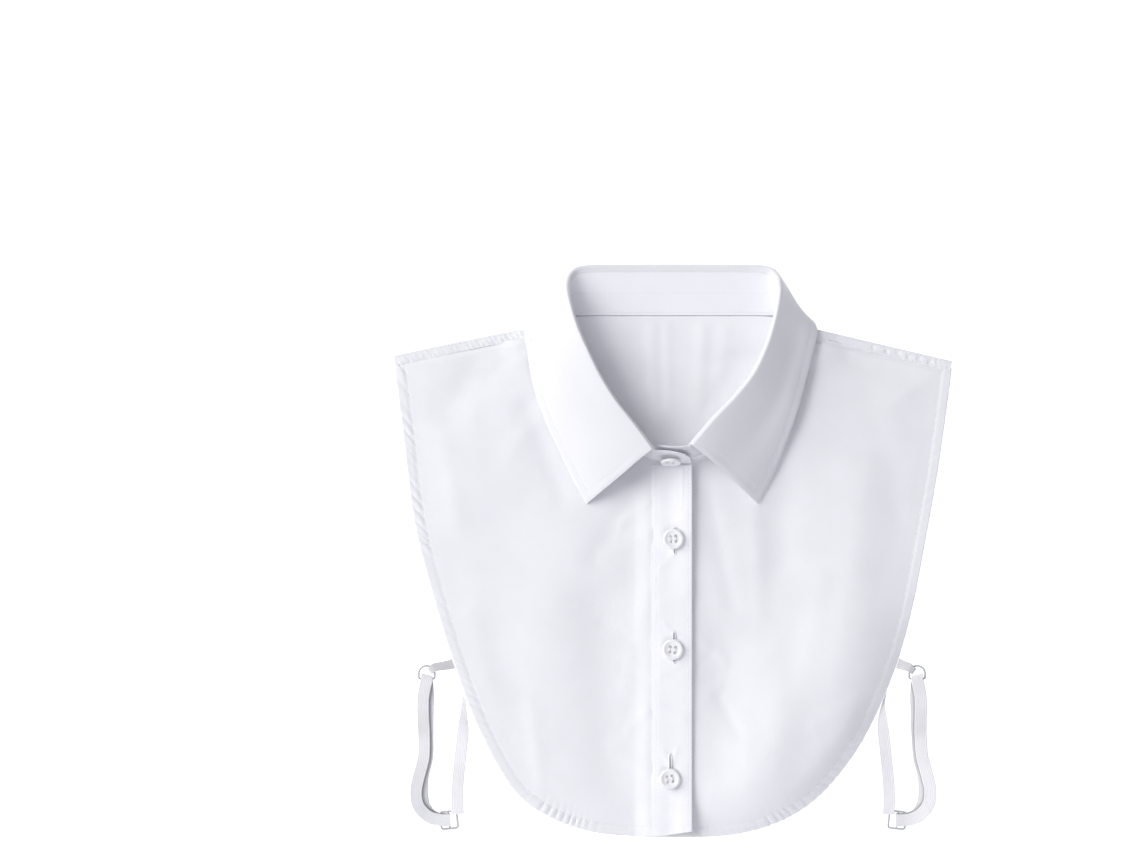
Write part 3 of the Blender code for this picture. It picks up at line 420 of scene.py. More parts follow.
def moulded(name, colour, roughness, transmission=0.0, subsurface=0.0):
    """A moulded plastic with a faint unevenness of tone and polish."""
    made, tree, shader = nodes_of(name)
    new, link = tree.nodes.new, tree.links.new
    where = new("ShaderNodeTexCoord")
    cloud = new("ShaderNodeTexNoise")
    cloud.inputs["Scale"].default_value = 260.0
    cloud.inputs["Detail"].default_value = 3.0
    link(where.outputs["Object"], cloud.inputs["Vector"])
    tones = new("ShaderNodeValToRGB")
    tones.color_ramp.elements[0].position = 0.35
    tones.color_ramp.elements[1].position = 0.65
    tones.color_ramp.elements[0].color = (*[c * 0.94 for c in colour], 1)
    tones.color_ramp.elements[1].color = (*colour, 1)
    link(cloud.outputs["Fac"], tones.inputs["Fac"])
    link(tones.outputs["Color"], shader.inputs["Base Color"])
    polish = new("ShaderNodeMapRange")
    polish.inputs["To Min"].default_value = roughness * 0.8
    polish.inputs["To Max"].default_value = roughness * 1.3
    link(cloud.outputs["Fac"], polish.inputs["Value"])
    link(polish.outputs["Result"], shader.inputs["Roughness"])
    bump = new("ShaderNodeBump")
    bump.inputs["Strength"].default_value = 0.12
    bump.inputs["Distance"].default_value = 0.00004
    link(cloud.outputs["Fac"], bump.inputs["Height"])
    link(bump.outputs["Normal"], shader.inputs["Normal"])
    shader.inputs["Coat Weight"].default_value = 0.12
    shader.inputs["Coat Roughness"].default_value = 0.12
    shader.inputs["Transmission Weight"].default_value = transmission
    shader.inputs["Subsurface Weight"].default_value = subsurface
    shader.inputs["Subsurface Radius"].default_value = (1.0, 1.0, 1.0)
    shader.inputs["Subsurface Scale"].default_value = 0.0006
    return made


POPLIN = woven("poplin", (0.862, 0.872, 0.89), 0.36, 0.03, 0.86)
PRESSED = woven("pressed_poplin", (0.875, 0.878, 0.905), 0.36, 0.024, 0.8, slub=0.35, tint=0.02)
# Painted shade: the leaf is the stand's pressed poplin with a darker colour, so that it reads darker under the lamps.
SHADED_LEAF_CLOTH = woven("pressed_leaf_painted_shade", (0.79, 0.79, 0.815), 0.36, 0.024, 0.8, slub=0.35, tint=0.02)
DOUBLED = woven("doubled_poplin", (0.925, 0.925, 0.95), 0.36, 0.028, 0.84, tint=0.025)
ELASTIC = woven("elastic_tape", (0.95, 0.95, 0.965), 0.42, 0.09, 0.72, sheen=0.35, tint=0.1, rib=True, shaded=True)
THREAD = woven("sewing_thread", (0.86, 0.86, 0.88), 0.25, 0.05, 0.6, sheen=0.4)
BUTTON = moulded("button_plastic", (0.885, 0.885, 0.9), 0.34, subsurface=0.2)
WIRE = moulded("milky_wire", (0.52, 0.53, 0.56), 0.25, transmission=0.1)
# A dark sheet laid down each buttonhole slit: painted shade in the opening.
SLIT_PAINTED_SHADE = woven("slit_shade", (0.42, 0.42, 0.46), 0.36, 0.03, 0.9, sheen=0.0)


# Meshes


def make(name, points, faces, finish, uv=None, sharp=40):
    """A mesh object from points in millimetres; uv is per point, in millimetres."""
    mesh = bpy.data.meshes.new(name)
    mesh.from_pydata((np.asarray(points, float) * MM).tolist(), [], np.asarray(faces).tolist() if len(faces) else [])
    corner = np.empty(len(mesh.loops), np.int32)
    mesh.loops.foreach_get("vertex_index", corner)
    layer = mesh.uv_layers.new(name="cloth")
    uv = np.asarray(points, float)[:, :2] if uv is None else np.asarray(uv, float)
    layer.data.foreach_set("uv", (uv[corner] * MM).ravel())
    mesh.update()
    mesh.shade_smooth()
    if sharp:
        mesh.set_sharp_from_angle(angle=math.radians(sharp))
    mesh.materials.append(finish)
    made = bpy.data.objects.new(name, mesh)
    bpy.context.scene.collection.objects.link(made)
    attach(made, "root")
    return made


def normals(surface):
    first, second = np.gradient(surface, axis=0), np.gradient(surface, axis=1)
    normal = np.cross(first, second)
    return normal / np.maximum(np.linalg.norm(normal, axis=-1)[..., None], 1e-9)


def shell(name, surface, wall, finish, uv=None, up=True, floor=0.02):
    """A closed layer of cloth about a grid of middle points, with rounded rims."""
    normal = normals(surface)
    if (normal[..., 2].sum() < 0) == up:
        normal = -normal
        order = -1
    else:
        order = 1
    n, m = surface.shape[:2]
    wall = np.broadcast_to(wall, (n, m))[..., None]
    top, low = surface + normal * wall / 2, surface - normal * wall / 2
    points = np.concatenate([top.reshape(-1, 3), low.reshape(-1, 3)])
    points[:, 2] = np.maximum(points[:, 2], floor)
    index = np.arange(n * m).reshape(n, m)
    quads = np.stack([index[:-1, :-1], index[1:, :-1], index[1:, 1:], index[:-1, 1:]], axis=-1).reshape(-1, 4)
    rim = np.concatenate([index[:, 0], index[-1, 1:], index[-2::-1, -1], index[0, -2:0:-1]])
    turn = np.roll(rim, -1)
    sides = np.stack([turn, rim, rim + n * m, turn + n * m], axis=-1)
    faces = np.concatenate([quads, quads[:, ::-1] + n * m, sides])
    if order < 0:
        faces = faces[:, ::-1]
    if uv is None:
        uv = surface[..., :2]
    uv = np.concatenate([uv.reshape(-1, 2)] * 2)
    return make(name, points, faces, finish, uv)


def rounded_wall(n, m, wall, edges, spacing):
    """Wall thickness of a grid that thins at the named rims: edges is (first i, last i, first j, last j)."""
    share = np.ones((n, m))
    i, j = np.arange(n)[:, None], np.arange(m)[None, :]
    for wanted, steps in zip(edges, (i, n - 1 - i, j, m - 1 - j)):
        if wanted:
            reach = np.clip(1 - steps * spacing, 0, 1)
            share = share * np.maximum(np.sqrt(1 - reach**2), 0.3)
    return wall * share


def uv_of(surface, start=(0.0, 0.0)):
    """Distances along both directions of a grid, in millimetres."""
    u = np.cumsum(np.linalg.norm(np.diff(surface, axis=0, prepend=surface[:1]), axis=-1), axis=0)
    v = np.cumsum(np.linalg.norm(np.diff(surface, axis=1, prepend=surface[:, :1]), axis=-1), axis=1)
    return np.stack([np.broadcast_to(u.mean(axis=1)[:, None], u.shape) + start[0], v + start[1]], axis=-1)


def stitches(name, path, normal, length=STITCH_LENGTH, pitch=STITCH_PITCH, radius=STITCH_RADIUS, bite=0.05):
    """Threads of a seam: one short spindle after another along a path, half sunk in the cloth."""
    run = run_of(path)
    count = int(run[-1] / pitch)
    points, faces, uv = [], [], []
    rings, sides = (0.0, 0.12, 0.5, 0.88, 1.0), 6
    girth = (0.35, 0.9, 1.0, 0.9, 0.35)
    sink = (0.9, 0.25, 0.0, 0.25, 0.9)
    for k in range(count):
        places = (k + 0.5) * pitch + (np.array(rings) - 0.5) * length
        centre = np.stack([np.interp(places, run, path[:, a]) for a in range(3)], axis=1)
        out = np.stack([np.interp(places, run, normal[:, a]) for a in range(3)], axis=1)
        tangent = centre[-1] - centre[0]
        tangent /= np.linalg.norm(tangent)
        first = len(points)
        for ring in range(len(rings)):
            across = np.cross(tangent, out[ring])
            across /= np.linalg.norm(across)
            middle = centre[ring] + out[ring] * (radius * (1 - 2 * sink[ring]) * 0.7 - bite)
            for a in np.arange(sides) * math.tau / sides:
                reach = radius * girth[ring]
                points.append(middle + reach * (math.cos(a) * across * 1.25 + math.sin(a) * out[ring]))
                uv.append((places[ring], a))
        for ring in range(len(rings) - 1):
            for side in range(sides):
                a, b = first + ring * sides + side, first + ring * sides + (side + 1) % sides
                faces.append((a, b, b + sides, a + sides))
        faces.append(tuple(first + s for s in range(sides - 1, -1, -1)))
        faces.append(tuple(first + (len(rings) - 1) * sides + s for s in range(sides)))
    mesh = bpy.data.meshes.new(name)
    mesh.from_pydata([tuple(p * MM) for p in points], [], faces)
    layer = mesh.uv_layers.new(name="cloth")
    corner = np.empty(len(mesh.loops), np.int32)
    mesh.loops.foreach_get("vertex_index", corner)
    layer.data.foreach_set("uv", (np.array(uv)[corner] * MM).ravel())
    mesh.shade_smooth()
    mesh.materials.append(THREAD)
    made = bpy.data.objects.new(name, mesh)
    bpy.context.scene.collection.objects.link(made)
    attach(made, "root")
    return made


def row_path(surface, wall, place):
    """The top of a layer along one row of its grid, with normals; place counts rows and may lie between two."""
    normal = normals(surface)
    if normal[..., 2].sum() < 0:
        normal = -normal
    j = int(place)
    t = place - j
    middle = surface[:, j] * (1 - t) + surface[:, min(j + 1, surface.shape[1] - 1)] * t
    out = normal[:, j] * (1 - t) + normal[:, min(j + 1, surface.shape[1] - 1)] * t
    return middle + out * wall / 2, out


# Fronts and back


def seam_line(side, count):
    return inset(evenly(SHOULDERS[side], count), SHOULDER_SEAM_WIDTH, side)


def front_edge_x(side):
    return FRONT_EDGE_X if side < 0 else UNDERLAP_X


def hem_inside(side, count, width):
    moved = inset(evenly(EDGES[side], count), width, -side)
    seam = seam_line(side, 40)
    tip = seam[np.argmin(np.abs(seam[:, 0] - moved[0, 0]))]
    moved[0] = tip - (0.0, GAP)
    moved[-1] = (front_edge_x(side), moved[-1, 1])
    return moved


def front_neck(side, count):
    if side < 0:
        rows = [(-FRONT_EDGE_X, 56.9)] + NECK
    else:
        rows = [(UNDERLAP_X, 60.3), (0.0, 59.4), (14.0, 60.6)] + NECK[2:]
    return evenly(rows, count) * (side, 1)


def pucker(run, depth, seed, pitch, slant):
    """Ripples along a seam at a distance depth from its edge, uneven in size and slanted by slant.

    pitch is the distance from one to the next, or a table of (run, pitch).
    """
    s = run - slant * depth
    if isinstance(pitch, list):
        places = np.linspace(-40.0, 500.0, 1081)
        spacing = np.interp(places, *zip(*pitch))
        phase = np.interp(s, places, np.cumsum(0.5 / spacing))
    else:
        phase = s / pitch
    steady = 0.5 + 0.5 * blotch(s, s * 0 + seed, 23.0, seed)
    phase = phase + 0.85 * blotch(s, s * 0 + 3.0 * seed, 15.0, seed + 5)
    wave = 1 - 2 * (0.5 - 0.5 * np.sin(math.tau * phase)) ** 2.2
    return steady * (wave + 0.25 * np.sin(2 * math.tau * phase + 1.0) * np.sign(slant + 0.01 + 0 * s))


# Hem puckers by distance from the shoulder tip: pitch, size and slant, on the left and the right
HEM_PITCH = {
    -1: [(0, 8.6), (100, 8.0), (280, 6.6), (305, 5.4), (340, 5.0), (409, 6.5)],
    1: [(0, 6.5), (60, 7.0), (150, 8.0), (250, 7.0), (330, 5.8), (420, 6.0)],
}
HEM_SIZE = {
    -1: [(0, 1.3), (15, 1.5), (60, 1.5), (90, 1.1), (200, 0.9), (296, 0.5), (310, 1.15), (332, 1.05), (342, 0.4), (409, 0.3)],
    1: [(0, 0.7), (30, 0.5), (60, 0.3), (200, 0.4), (270, 0.8), (330, 1.1), (342, 0.5), (380, 0.3), (420, 0.4)],
}
HEM_SLANT = {
    -1: [(0, 1.5), (200, 1.25), (290, 0.5), (310, 0.0), (409, 0.0)],
    1: [(0, 0.7), (150, 0.9), (260, 0.6), (330, 0.3), (420, 0.1)],
}


def hemmed(rows_flat, edge, run, under, seed, main_low, side):
    """A panel that runs on over its hem line to the edge, folds there and comes back under itself.

    rows_flat is the panel up to the hem line and edge its outer edge, by columns. The turned layer lies beneath
    the panel, or above it where main_low is set.
    """
    size, slant = (np.interp(run, *zip(*table[side])) for table in (HEM_SIZE, HEM_SLANT))
    pitch = HEM_PITCH[side]
    hem_line = rows_flat[:, -1]
    depth_to_line = np.linalg.norm(rows_flat - hem_line[:, None], axis=-1)
    x, y = rows_flat[..., 0], rows_flat[..., 1]
    line_run = run[:, None] + 0 * x
    rise = HEM_WALL - WALL
    beside = np.exp(-depth_to_line / 2.2)
    ripple = size[:, None] * pucker(line_run, HEM_WIDTH + depth_to_line, seed, pitch, slant[:, None])
    height = under(x, y) + uneven(x, y, seed) * smooth(depth_to_line / 12.0)
    bottom = height + (0.05 if main_low else WALL - CLOTH) + 0.12 * beside * ripple
    body = np.concatenate([rows_flat, (bottom + CLOTH / 2)[..., None]], axis=-1)
    share = np.array([0.12, 0.25, 0.4, 0.55, 0.7, 0.84, 0.94, 1.0])
    strip = hem_line[:, None] * (1 - share[None, :, None]) + edge[:, None] * share[None, :, None]
    sx, sy = strip[..., 0], strip[..., 1]
    depth = HEM_WIDTH * (1 - share)[None, :] + 0 * sx
    ripple = size[:, None] * pucker(run[:, None] + 0 * sx, depth, seed, pitch, slant[:, None])
    swell = np.sin(math.pi * np.clip(share * 0.85 + 0.12, 0, 1))[None, :]
    base = under(sx, sy)
    groove = 0.12 * np.exp(-(((share - 0.16) / 0.12) ** 2))[None, :] * (1 + 0.6 * ripple)
    if side > 0 and not main_low:
        # The lower part of this hem is stitched twice, and drawn in along both rows.
        twice = smooth((run - 225.0) / 20.0) * smooth((350.0 - run) / 15.0)
        rows = 0.16 * np.exp(-(((share - 0.25) / 0.1) ** 2)) + 0.3 * np.exp(-(((share - 0.6) / 0.1) ** 2))
        groove = groove + twice[:, None] * rows[None, :]
    if main_low:
        layer = base + 0.05 + CLOTH / 2 + 0.12 * np.abs(ripple) * swell
        turned = base + 0.05 + CLOTH * 1.5 + 0.06 + 0.05 * ripple
    else:
        layer = base + WALL - CLOTH / 2 + rise * smooth(share / 0.45)[None, :] * (0.62 + 0.3 * ripple) + 0.3 * ripple * swell - groove - 0.05
        turned = base + 0.1 + CLOTH / 2 + 0.0 * ripple
    wave = 0.25 * size * pucker(run, 0 * run, seed + 3, pitch, slant)
    heading = edge - hem_line
    heading /= np.maximum(np.linalg.norm(heading, axis=1)[:, None], 1e-6)
    shift = heading[:, None, :] * (wave[:, None] * share[None, :] ** 2)[..., None]
    strip_points = np.concatenate([strip + shift - heading[:, None, :] * 0.5 * share[None, :, None], layer[..., None]], -1)
    last, under_last = layer[:, -1], turned[:, -1]
    middle, radius = (last + under_last) / 2, (last - under_last) / 2
    rounds = []
    for a in (60.0, 20.0, -20.0, -60.0):
        reach = np.abs(radius) * math.cos(math.radians(a))
        flat = strip_points[:, -1, :2] + heading * reach[:, None]
        rounds.append(np.column_stack([flat, middle + radius * math.sin(math.radians(a))]))
    back = share[::-1][[0, 2, 4, 6]]
    pick = [7, 5, 3, 1]
    turned_points = np.concatenate([strip_points[:, pick, :2], turned[:, pick][..., None]], axis=-1)
    return np.concatenate([body, strip_points, np.stack(rounds, axis=1), turned_points], axis=1), back


TUCK = ((0.45, 0.12), (0.9, 0.28), (1.5, 0.36), (2.2, 0.4))


def front_surface(side):
    share = np.linspace(0, 1, FRONT_COLUMNS)
    inner = along(front_neck(side, 60), 59 * share * (1.25 - 0.25 * share))
    places = (FRONT_COLUMNS - 1) * share * (0.7 + 0.3 * share)
    hem_line = along(hem_inside(side, FRONT_COLUMNS, HEM_WIDTH)[::-1], places)
    edge = along(evenly(EDGES[side], FRONT_COLUMNS)[::-1], places)
    edge[-1, 1] -= GAP
    seam = seam_line(side, 60)
    inner[-1] = seam[np.argmin(np.abs(seam[:, 0] - side * 74.5))] - (0.0, GAP)
    rows = np.linspace(0, 1, FRONT_ROWS)[None, :, None]
    flat = inner[:, None] * (1 - rows) + hem_line[:, None] * rows
    run = run_of(edge[::-1])[::-1]
    def under(x, y):
        from_edge = nearest(x, y, OUTLINE)
        free = smooth(nearest(x, y, NECK_OUTLINE) / 14.0) * smooth(from_edge / 16.0)
        height = UNDERSIDE[side](x, y) + fold_height(x, y, CREASES) * free
        if side < 0:
            width, rise = PLACKET_SLOPE
            return height + rise * smooth((x - PLACKET_X + width) / width) * smooth((from_edge - 6.0) / 8.0)
        reach = nearest(x, y, np.array(BILLOW_LINE)) / BILLOW_REACH
        climb = 1 - np.exp(-from_edge / BILLOW_RUN)
        return height + BILLOW_RISE * climb * np.exp(-(reach**2))

    surface, _ = hemmed(flat, edge, run, under, 11 if side < 0 else 23, False, side)
    # The seam side dips and runs on beneath the felled seam.
    high = smooth((surface[..., 2] - 1.2) / 0.6)
    to_seam = np.linalg.norm(surface[-1:, :, :2] - surface[..., :2], axis=-1)
    surface[..., 2] -= 0.6 * high * np.exp(-((to_seam / 1.1) ** 2))
    heading = surface[-1] - surface[-4]
    heading[:, 2] = 0.0
    heading /= np.linalg.norm(heading, axis=1)[:, None]
    last = surface[-1:] + 0.0
    tucked = [last + (heading * d)[None] - (high[-1] * drop)[None, :, None] * (0.0, 0.0, 1.0) for d, drop in TUCK]
    return np.concatenate([surface] + tucked, axis=0)


def make_front(side, word):
    surface = front_surface(side)
    made = shell(f"front_cloth_{word}", surface, CLOTH, POPLIN)
    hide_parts(f"front_{word}", f"hem_{word}")
    line = FRONT_ROWS - 1 + 1.1
    path, out = row_path(surface[:, : FRONT_ROWS + 7], CLOTH, line)
    inner = slice(6, -9)
    made_of = [stitches(f"hem_stitches_{word}", path[inner], out[inner])]
    if side > 0:
        path, out = row_path(surface[:, : FRONT_ROWS + 7], CLOTH, FRONT_ROWS + 4.4)
        low = (path[:, 1] < -96) & (path[:, 0] > 40)
        made_of.append(stitches("hem_second_stitches", path[low], out[low]))
    return made, made_of


def back_top():
    places = np.linspace(5, 59, 60)
    left = along(inset(evenly(LEFT_SHOULDER, 60), SHOULDER_SEAM_WIDTH + GAP, -1), places)
    right = along(inset(evenly(RIGHT_SHOULDER, 60), SHOULDER_SEAM_WIDTH + GAP, 1), places)
    half = evenly(BACK_NECK, 61)[1:]
    return np.concatenate([left, half, (half[:-1] * (-1, 1))[::-1], right[::-1]])


def back_outline(count, width):
    left = evenly(LEFT_EDGE[:-1], count // 2 + 1)
    right = evenly(RIGHT_EDGE[:-1], count // 2 + 1)[::-1]
    edge = evenly(np.concatenate([left[:-1], right[1:]])[::2], count)
    moved = inset(edge, width, 1)
    moved[0] = (moved[0, 0], edge[0, 1] - 0.5)
    moved[-1] = (moved[-1, 0], edge[-1, 1] - 0.5)
    return moved


NECK_TUCK = 1.0  # the back runs on to the stand here
NECK_FOLDS = [
    (-14.0, 146.0, -12.0, 84.0, 4.2, 0.6),
    (-4.0, 146.0, -2.5, 92.0, 3.6, 0.45),
    (19.0, 146.0, 17.0, 92.0, 5.0, 0.6),
    (34.0, 146.0, 30.0, 112.0, 5.0, 0.4),
    (-34.0, 146.0, -30.0, 104.0, 6.0, 0.4),
]


def make_back():
    top_edge = back_top()
    top_edge[:, 1] += NECK_TUCK * smooth((73.0 - np.abs(top_edge[:, 0])) / 6.0)
    count = len(top_edge)
    edge = back_outline(count, 1.0)
    hem_line = back_outline(count, 1.0 + HEM_WIDTH)
    rows = np.linspace(0, 1, 84)[None, :, None] ** 1.25
    flat = top_edge[:, None] * (1 - rows) + hem_line[:, None] * rows
    run = run_of(edge)

    def under(x, y):
        inside = smooth((nearest(x, y, NECK_OUTLINE) - 4.0) / 10.0) * (y > 60) * (np.abs(x) < 62)
        open_neck = inside * smooth((y - 62 - 1.15 * np.abs(x)) / 14.0) * smooth((150.0 - y) / 6.0)
        return back_under(x, y) + fold_height(x, y, NECK_FOLDS) * open_neck

    surface, _ = hemmed(flat, edge, 0.6 * run, under, 41, True, 1)
    surface[:, :84, 2] -= 0.3 * np.minimum(uneven(surface[:, :84, 0], surface[:, :84, 1], 41), 0.0)
    made = shell("back_cloth", surface, CLOTH, POPLIN, floor=0.0)
    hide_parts("back_panel", "back_hem")
    path, out = row_path(surface[:, :91], -CLOTH, 83 + 1.1)
    low = stitches("back_hem_stitches", (path * (1, 1, 0) + (0, 0, 0.16))[4:-4], -out[4:-4], bite=0.13)
    return made, low


SEAM_SIZE = {
    -1: [(0, 1.0), (20, 0.7), (50, 0.8), (60, 1.2), (95, 1.1), (107, 0.6)],
    1: [(0, 0.5), (10, 0.5), (50, 0.4), (107, 0.25)],
}
SEAM_DOTS = (14.0, 21.5, 28.0, 36.0, 43.0, 52.0)  # dimples of the right seam, from the shoulder tip


def make_shoulder(side, word):
    """The felled seam: from its stitched edge over the fold and under to the back panel."""
    count = 150
    fold = evenly(SHOULDERS[side], count)
    run = run_of(fold)
    share = np.array([0.0, 0.1, 0.22, 0.36, 0.5, 0.64, 0.78, 0.9])
    flat = np.stack([inset(fold, SHOULDER_SEAM_WIDTH * (1 - s) + 0.1, side) for s in share], axis=1)
    under = back_under(flat[..., 0], flat[..., 1])
    size = np.interp(run, *zip(*SEAM_SIZE[side]))[:, None]
    depth = SHOULDER_SEAM_WIDTH * share[None, :] + 0 * under
    ripple = pucker(run[:, None] + 0 * under, depth, 61 if side < 0 else 67, 3.4, 0.5 * side)
    ripple = ripple + 0.7 * blotch(run[:, None] + 0 * under, depth, 2.6, 71)
    ripple = 0.34 * ripple * size * np.sin(math.pi * np.clip(share * 0.9 + 0.1, 0, 1))[None, :]
    groove = 0.1 * (np.exp(-(((share - 0.2) / 0.1) ** 2)) + np.exp(-(((share - 0.8) / 0.1) ** 2)))[None, :]
    dots = 0 * under
    for number, place in enumerate(SEAM_DOTS if side > 0 else ()):
        spread = ((run[:, None] - place) / 1.5) ** 2 + ((depth - 2.9 - 0.5 * (number % 2)) / 1.1) ** 2
        dots = dots + 0.75 * np.exp(-spread)
    top = under + SHOULDER_SEAM_WALL - CLOTH / 2 - groove + ripple - 0.1 - dots
    rows = [np.concatenate([flat, top[..., None]], axis=-1)]
    low = under[:, -1] + 0.05 + CLOTH / 2
    high = top[:, -1]
    base = inset(fold, 0.75, side)
    heading = fold - base
    heading /= np.linalg.norm(heading, axis=1)[:, None]
    bends = []
    for a in (65.0, 35.0, 0.0, -35.0, -65.0):
        reach = 0.55 * math.cos(math.radians(a))
        z = (high + low) / 2 + (high - low) / 2 * math.sin(math.radians(a))
        bends.append(np.column_stack([base + heading * reach, z]))
    rows.append(np.stack(bends, axis=1))
    turned = np.stack([inset(fold, d, side) for d in (1.2, 3.0, 5.0, SHOULDER_SEAM_WIDTH + 0.1)], axis=1)
    rows.append(np.concatenate([turned, (back_under(turned[..., 0], turned[..., 1]) + 0.05 + CLOTH / 2)[..., None]], -1))
    surface = np.concatenate(rows, axis=1)
    made = shell(f"shoulder_cloth_{word}", surface, CLOTH, POPLIN)
    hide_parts(f"shoulder_{word}")
    threads = []
    for number, place in enumerate((1.8, 6.1)):
        path, out = row_path(surface[:, :8], CLOTH, place)
        threads.append(stitches(f"shoulder_stitches_{word}_{number + 1}", path[3:-3], out[3:-3]))
    return made, threads


def placket_flat(x, share):
    bottom = np.interp(x, *zip(*LEFT_EDGE[-4:])) + GAP
    return 55.4 + (bottom - 55.4) * share


def placket_height(x, y):
    """Top of the placket: dips and pulls about its buttons, and slack between them."""
    height = placket_under(x, y) + WALL
    for bx, by in PLACKET_BUTTONS:
        away = np.hypot(x - bx, y - by)
        height = height + 0.22 * np.exp(-(((away - 9.0) / 2.6) ** 2)) - 0.2 * np.exp(-((away / 6.0) ** 2))
    for x1, y1, x2, y2, width, rise in (
        (-2.2, -139.0, -6.5, -129.0, 1.4, 0.3), (-2.2, -139.0, 2.5, -128.0, 1.4, 0.3), (0.0, 16.0, 8.0, 22.0, 2.0, 0.25),
        (-0.4, -54.0, -6.0, -46.0, 1.8, 0.25), (0.0, -2.0, -9.0, -12.0, 2.2, 0.25), (4.0, -74.0, -8.0, -80.0, 2.2, 0.22),
        (-10.0, -100.0, 6.0, -108.0, 3.0, 0.25), (-8.0, -34.0, 8.0, -28.0, 3.5, 0.2),
    ):
        height = height + rise * np.exp(-((nearest(x, y, np.array([(x1, y1), (x2, y2)])) / width) ** 2))
    return height + 0.12 * blotch(x, y, 15.0, 77) + 0.03 * blotch(x, y, 6.0, 78)


def make_placket():
    """A folded band: its top layer turns under at the free edge and at the neck side."""
    across = np.concatenate([[-14.2, -13.9, -13.2], np.linspace(-12.3, 10.6, 22), [11.3, 11.8]])
    share = np.linspace(0, 1, 190)
    x, s = np.meshgrid(across, share, indexing="ij")
    y = placket_flat(x, s)
    rim = 0.5 * np.exp(-(((x - PLACKET_X) / 3.2) ** 2)) + 0.1 * np.exp(-((FRONT_EDGE_X - x) / 0.6))
    line = 0.1 * np.exp(-(((x - 9.0) / 0.8) ** 2)) + 0.05 * np.exp(-(((x + 11.6) / 0.8) ** 2))
    ripple = pucker(y, 0 * y, 83, 4.6, 0.0) * 0.06 * (np.exp(-((x - 10.2) / 1.8) ** 2) + np.exp(-((x + 12.8) / 1.8) ** 2))
    top = placket_height(x, y) - CLOTH / 2 - rim - line + ripple
    surface = np.stack([x, y, top], axis=-1)
    edge_top = surface[-1]
    bends = []
    for a in (50.0, 10.0, -30.0, -70.0):
        reach = 0.36 * math.cos(math.radians(a))
        drop = 0.3 * (math.sin(math.radians(a)) - 1)
        bends.append(edge_top + np.array([reach, 0.0, drop]))
    low = edge_top + np.array([-0.4, 0.0, -0.62])
    lower = edge_top + np.array([-6.0, 0.0, -0.55])
    surface = np.concatenate([surface, np.stack(bends + [low, lower], axis=0)], axis=0)
    made = shell("placket_cloth", surface, 0.36, DOUBLED)
    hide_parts("placket")
    threads = []
    for number, place in enumerate((9.0, -11.6)):
        k = int(np.argmin(np.abs(across - place)))
        path, out = row_path(surface.transpose(1, 0, 2), 0.36, k)
        threads.append(stitches(f"placket_stitches_{number + 1}", path[1:-1], out[1:-1]))
    return made, threads


# Collar


def collar_sections(steps):
    rows = np.array(LEFT_COLLAR + [MIDDLE_BACK] + RIGHT_COLLAR[::-1], float)
    last = len(rows) - 1
    heights = []
    for k, row in enumerate(rows):
        on_front = UNDERSIDE[-1 if row[9] < 0 else 1](row[9], row[10])
        over = float(on_front) + WALL + GAP + COLLAR_WALL / 2 + row[11]
        heights.append(over if min(k, last - k) < ON_FRONTS else COLLAR_WALL / 2 + 0.1)
    rows = np.column_stack([rows, heights])
    rows = along(rows, np.linspace(0, last, last * steps + 1))
    seam, fold, belly = rows[:, 0:3], rows[:, 3:6], rows[:, 6:9]
    edge = rows[:, [9, 10, 13]]
    roll = rows[:, 12:13]
    up = fold - seam
    up /= np.linalg.norm(up, axis=1)[:, None]
    out = belly - fold
    out -= (out * up).sum(axis=1)[:, None] * up
    out /= np.linalg.norm(out, axis=1)[:, None]
    centre = fold - roll * up + roll * out
    profile = [
        fold - LEAF_SEAM * up,
        centre - roll * out,
        centre + roll * (0.7 * up - 0.7 * out),
        centre + roll * up,
        centre + roll * (0.7 * up + 0.7 * out),
        (fold + belly) / 2 + 0.55 * roll * (out + up),
        belly,
        (belly + edge) / 2 + (0.0, 0.0, 1.0) * (belly - edge)[:, 2:3] * 0.06,
        edge,
    ]
    return seam, fold, up, np.stack(profile, axis=1)


LEAF_STITCH = 5.2  # from the leaf's edge to its topstitching


def leaf_surface():
    """The leaf's middle surface on even steps across, with distances from its free edges."""
    _, _, _, profile = collar_sections(13)
    places = np.concatenate([np.linspace(0, 5, 26)[:-1], np.linspace(5, 8, 38)])
    surface = along(profile.transpose(1, 0, 2), places).transpose(1, 0, 2)
    v = np.cumsum(np.linalg.norm(np.diff(surface, axis=1, prepend=surface[:, :1]), axis=-1), axis=1)
    from_edge = v[:, -1:] - v
    u = np.cumsum(np.linalg.norm(np.diff(surface, axis=0, prepend=surface[:1]), axis=-1), axis=0)
    from_end = np.minimum(u, u[-1:] - u)
    return surface, from_edge, from_end, v


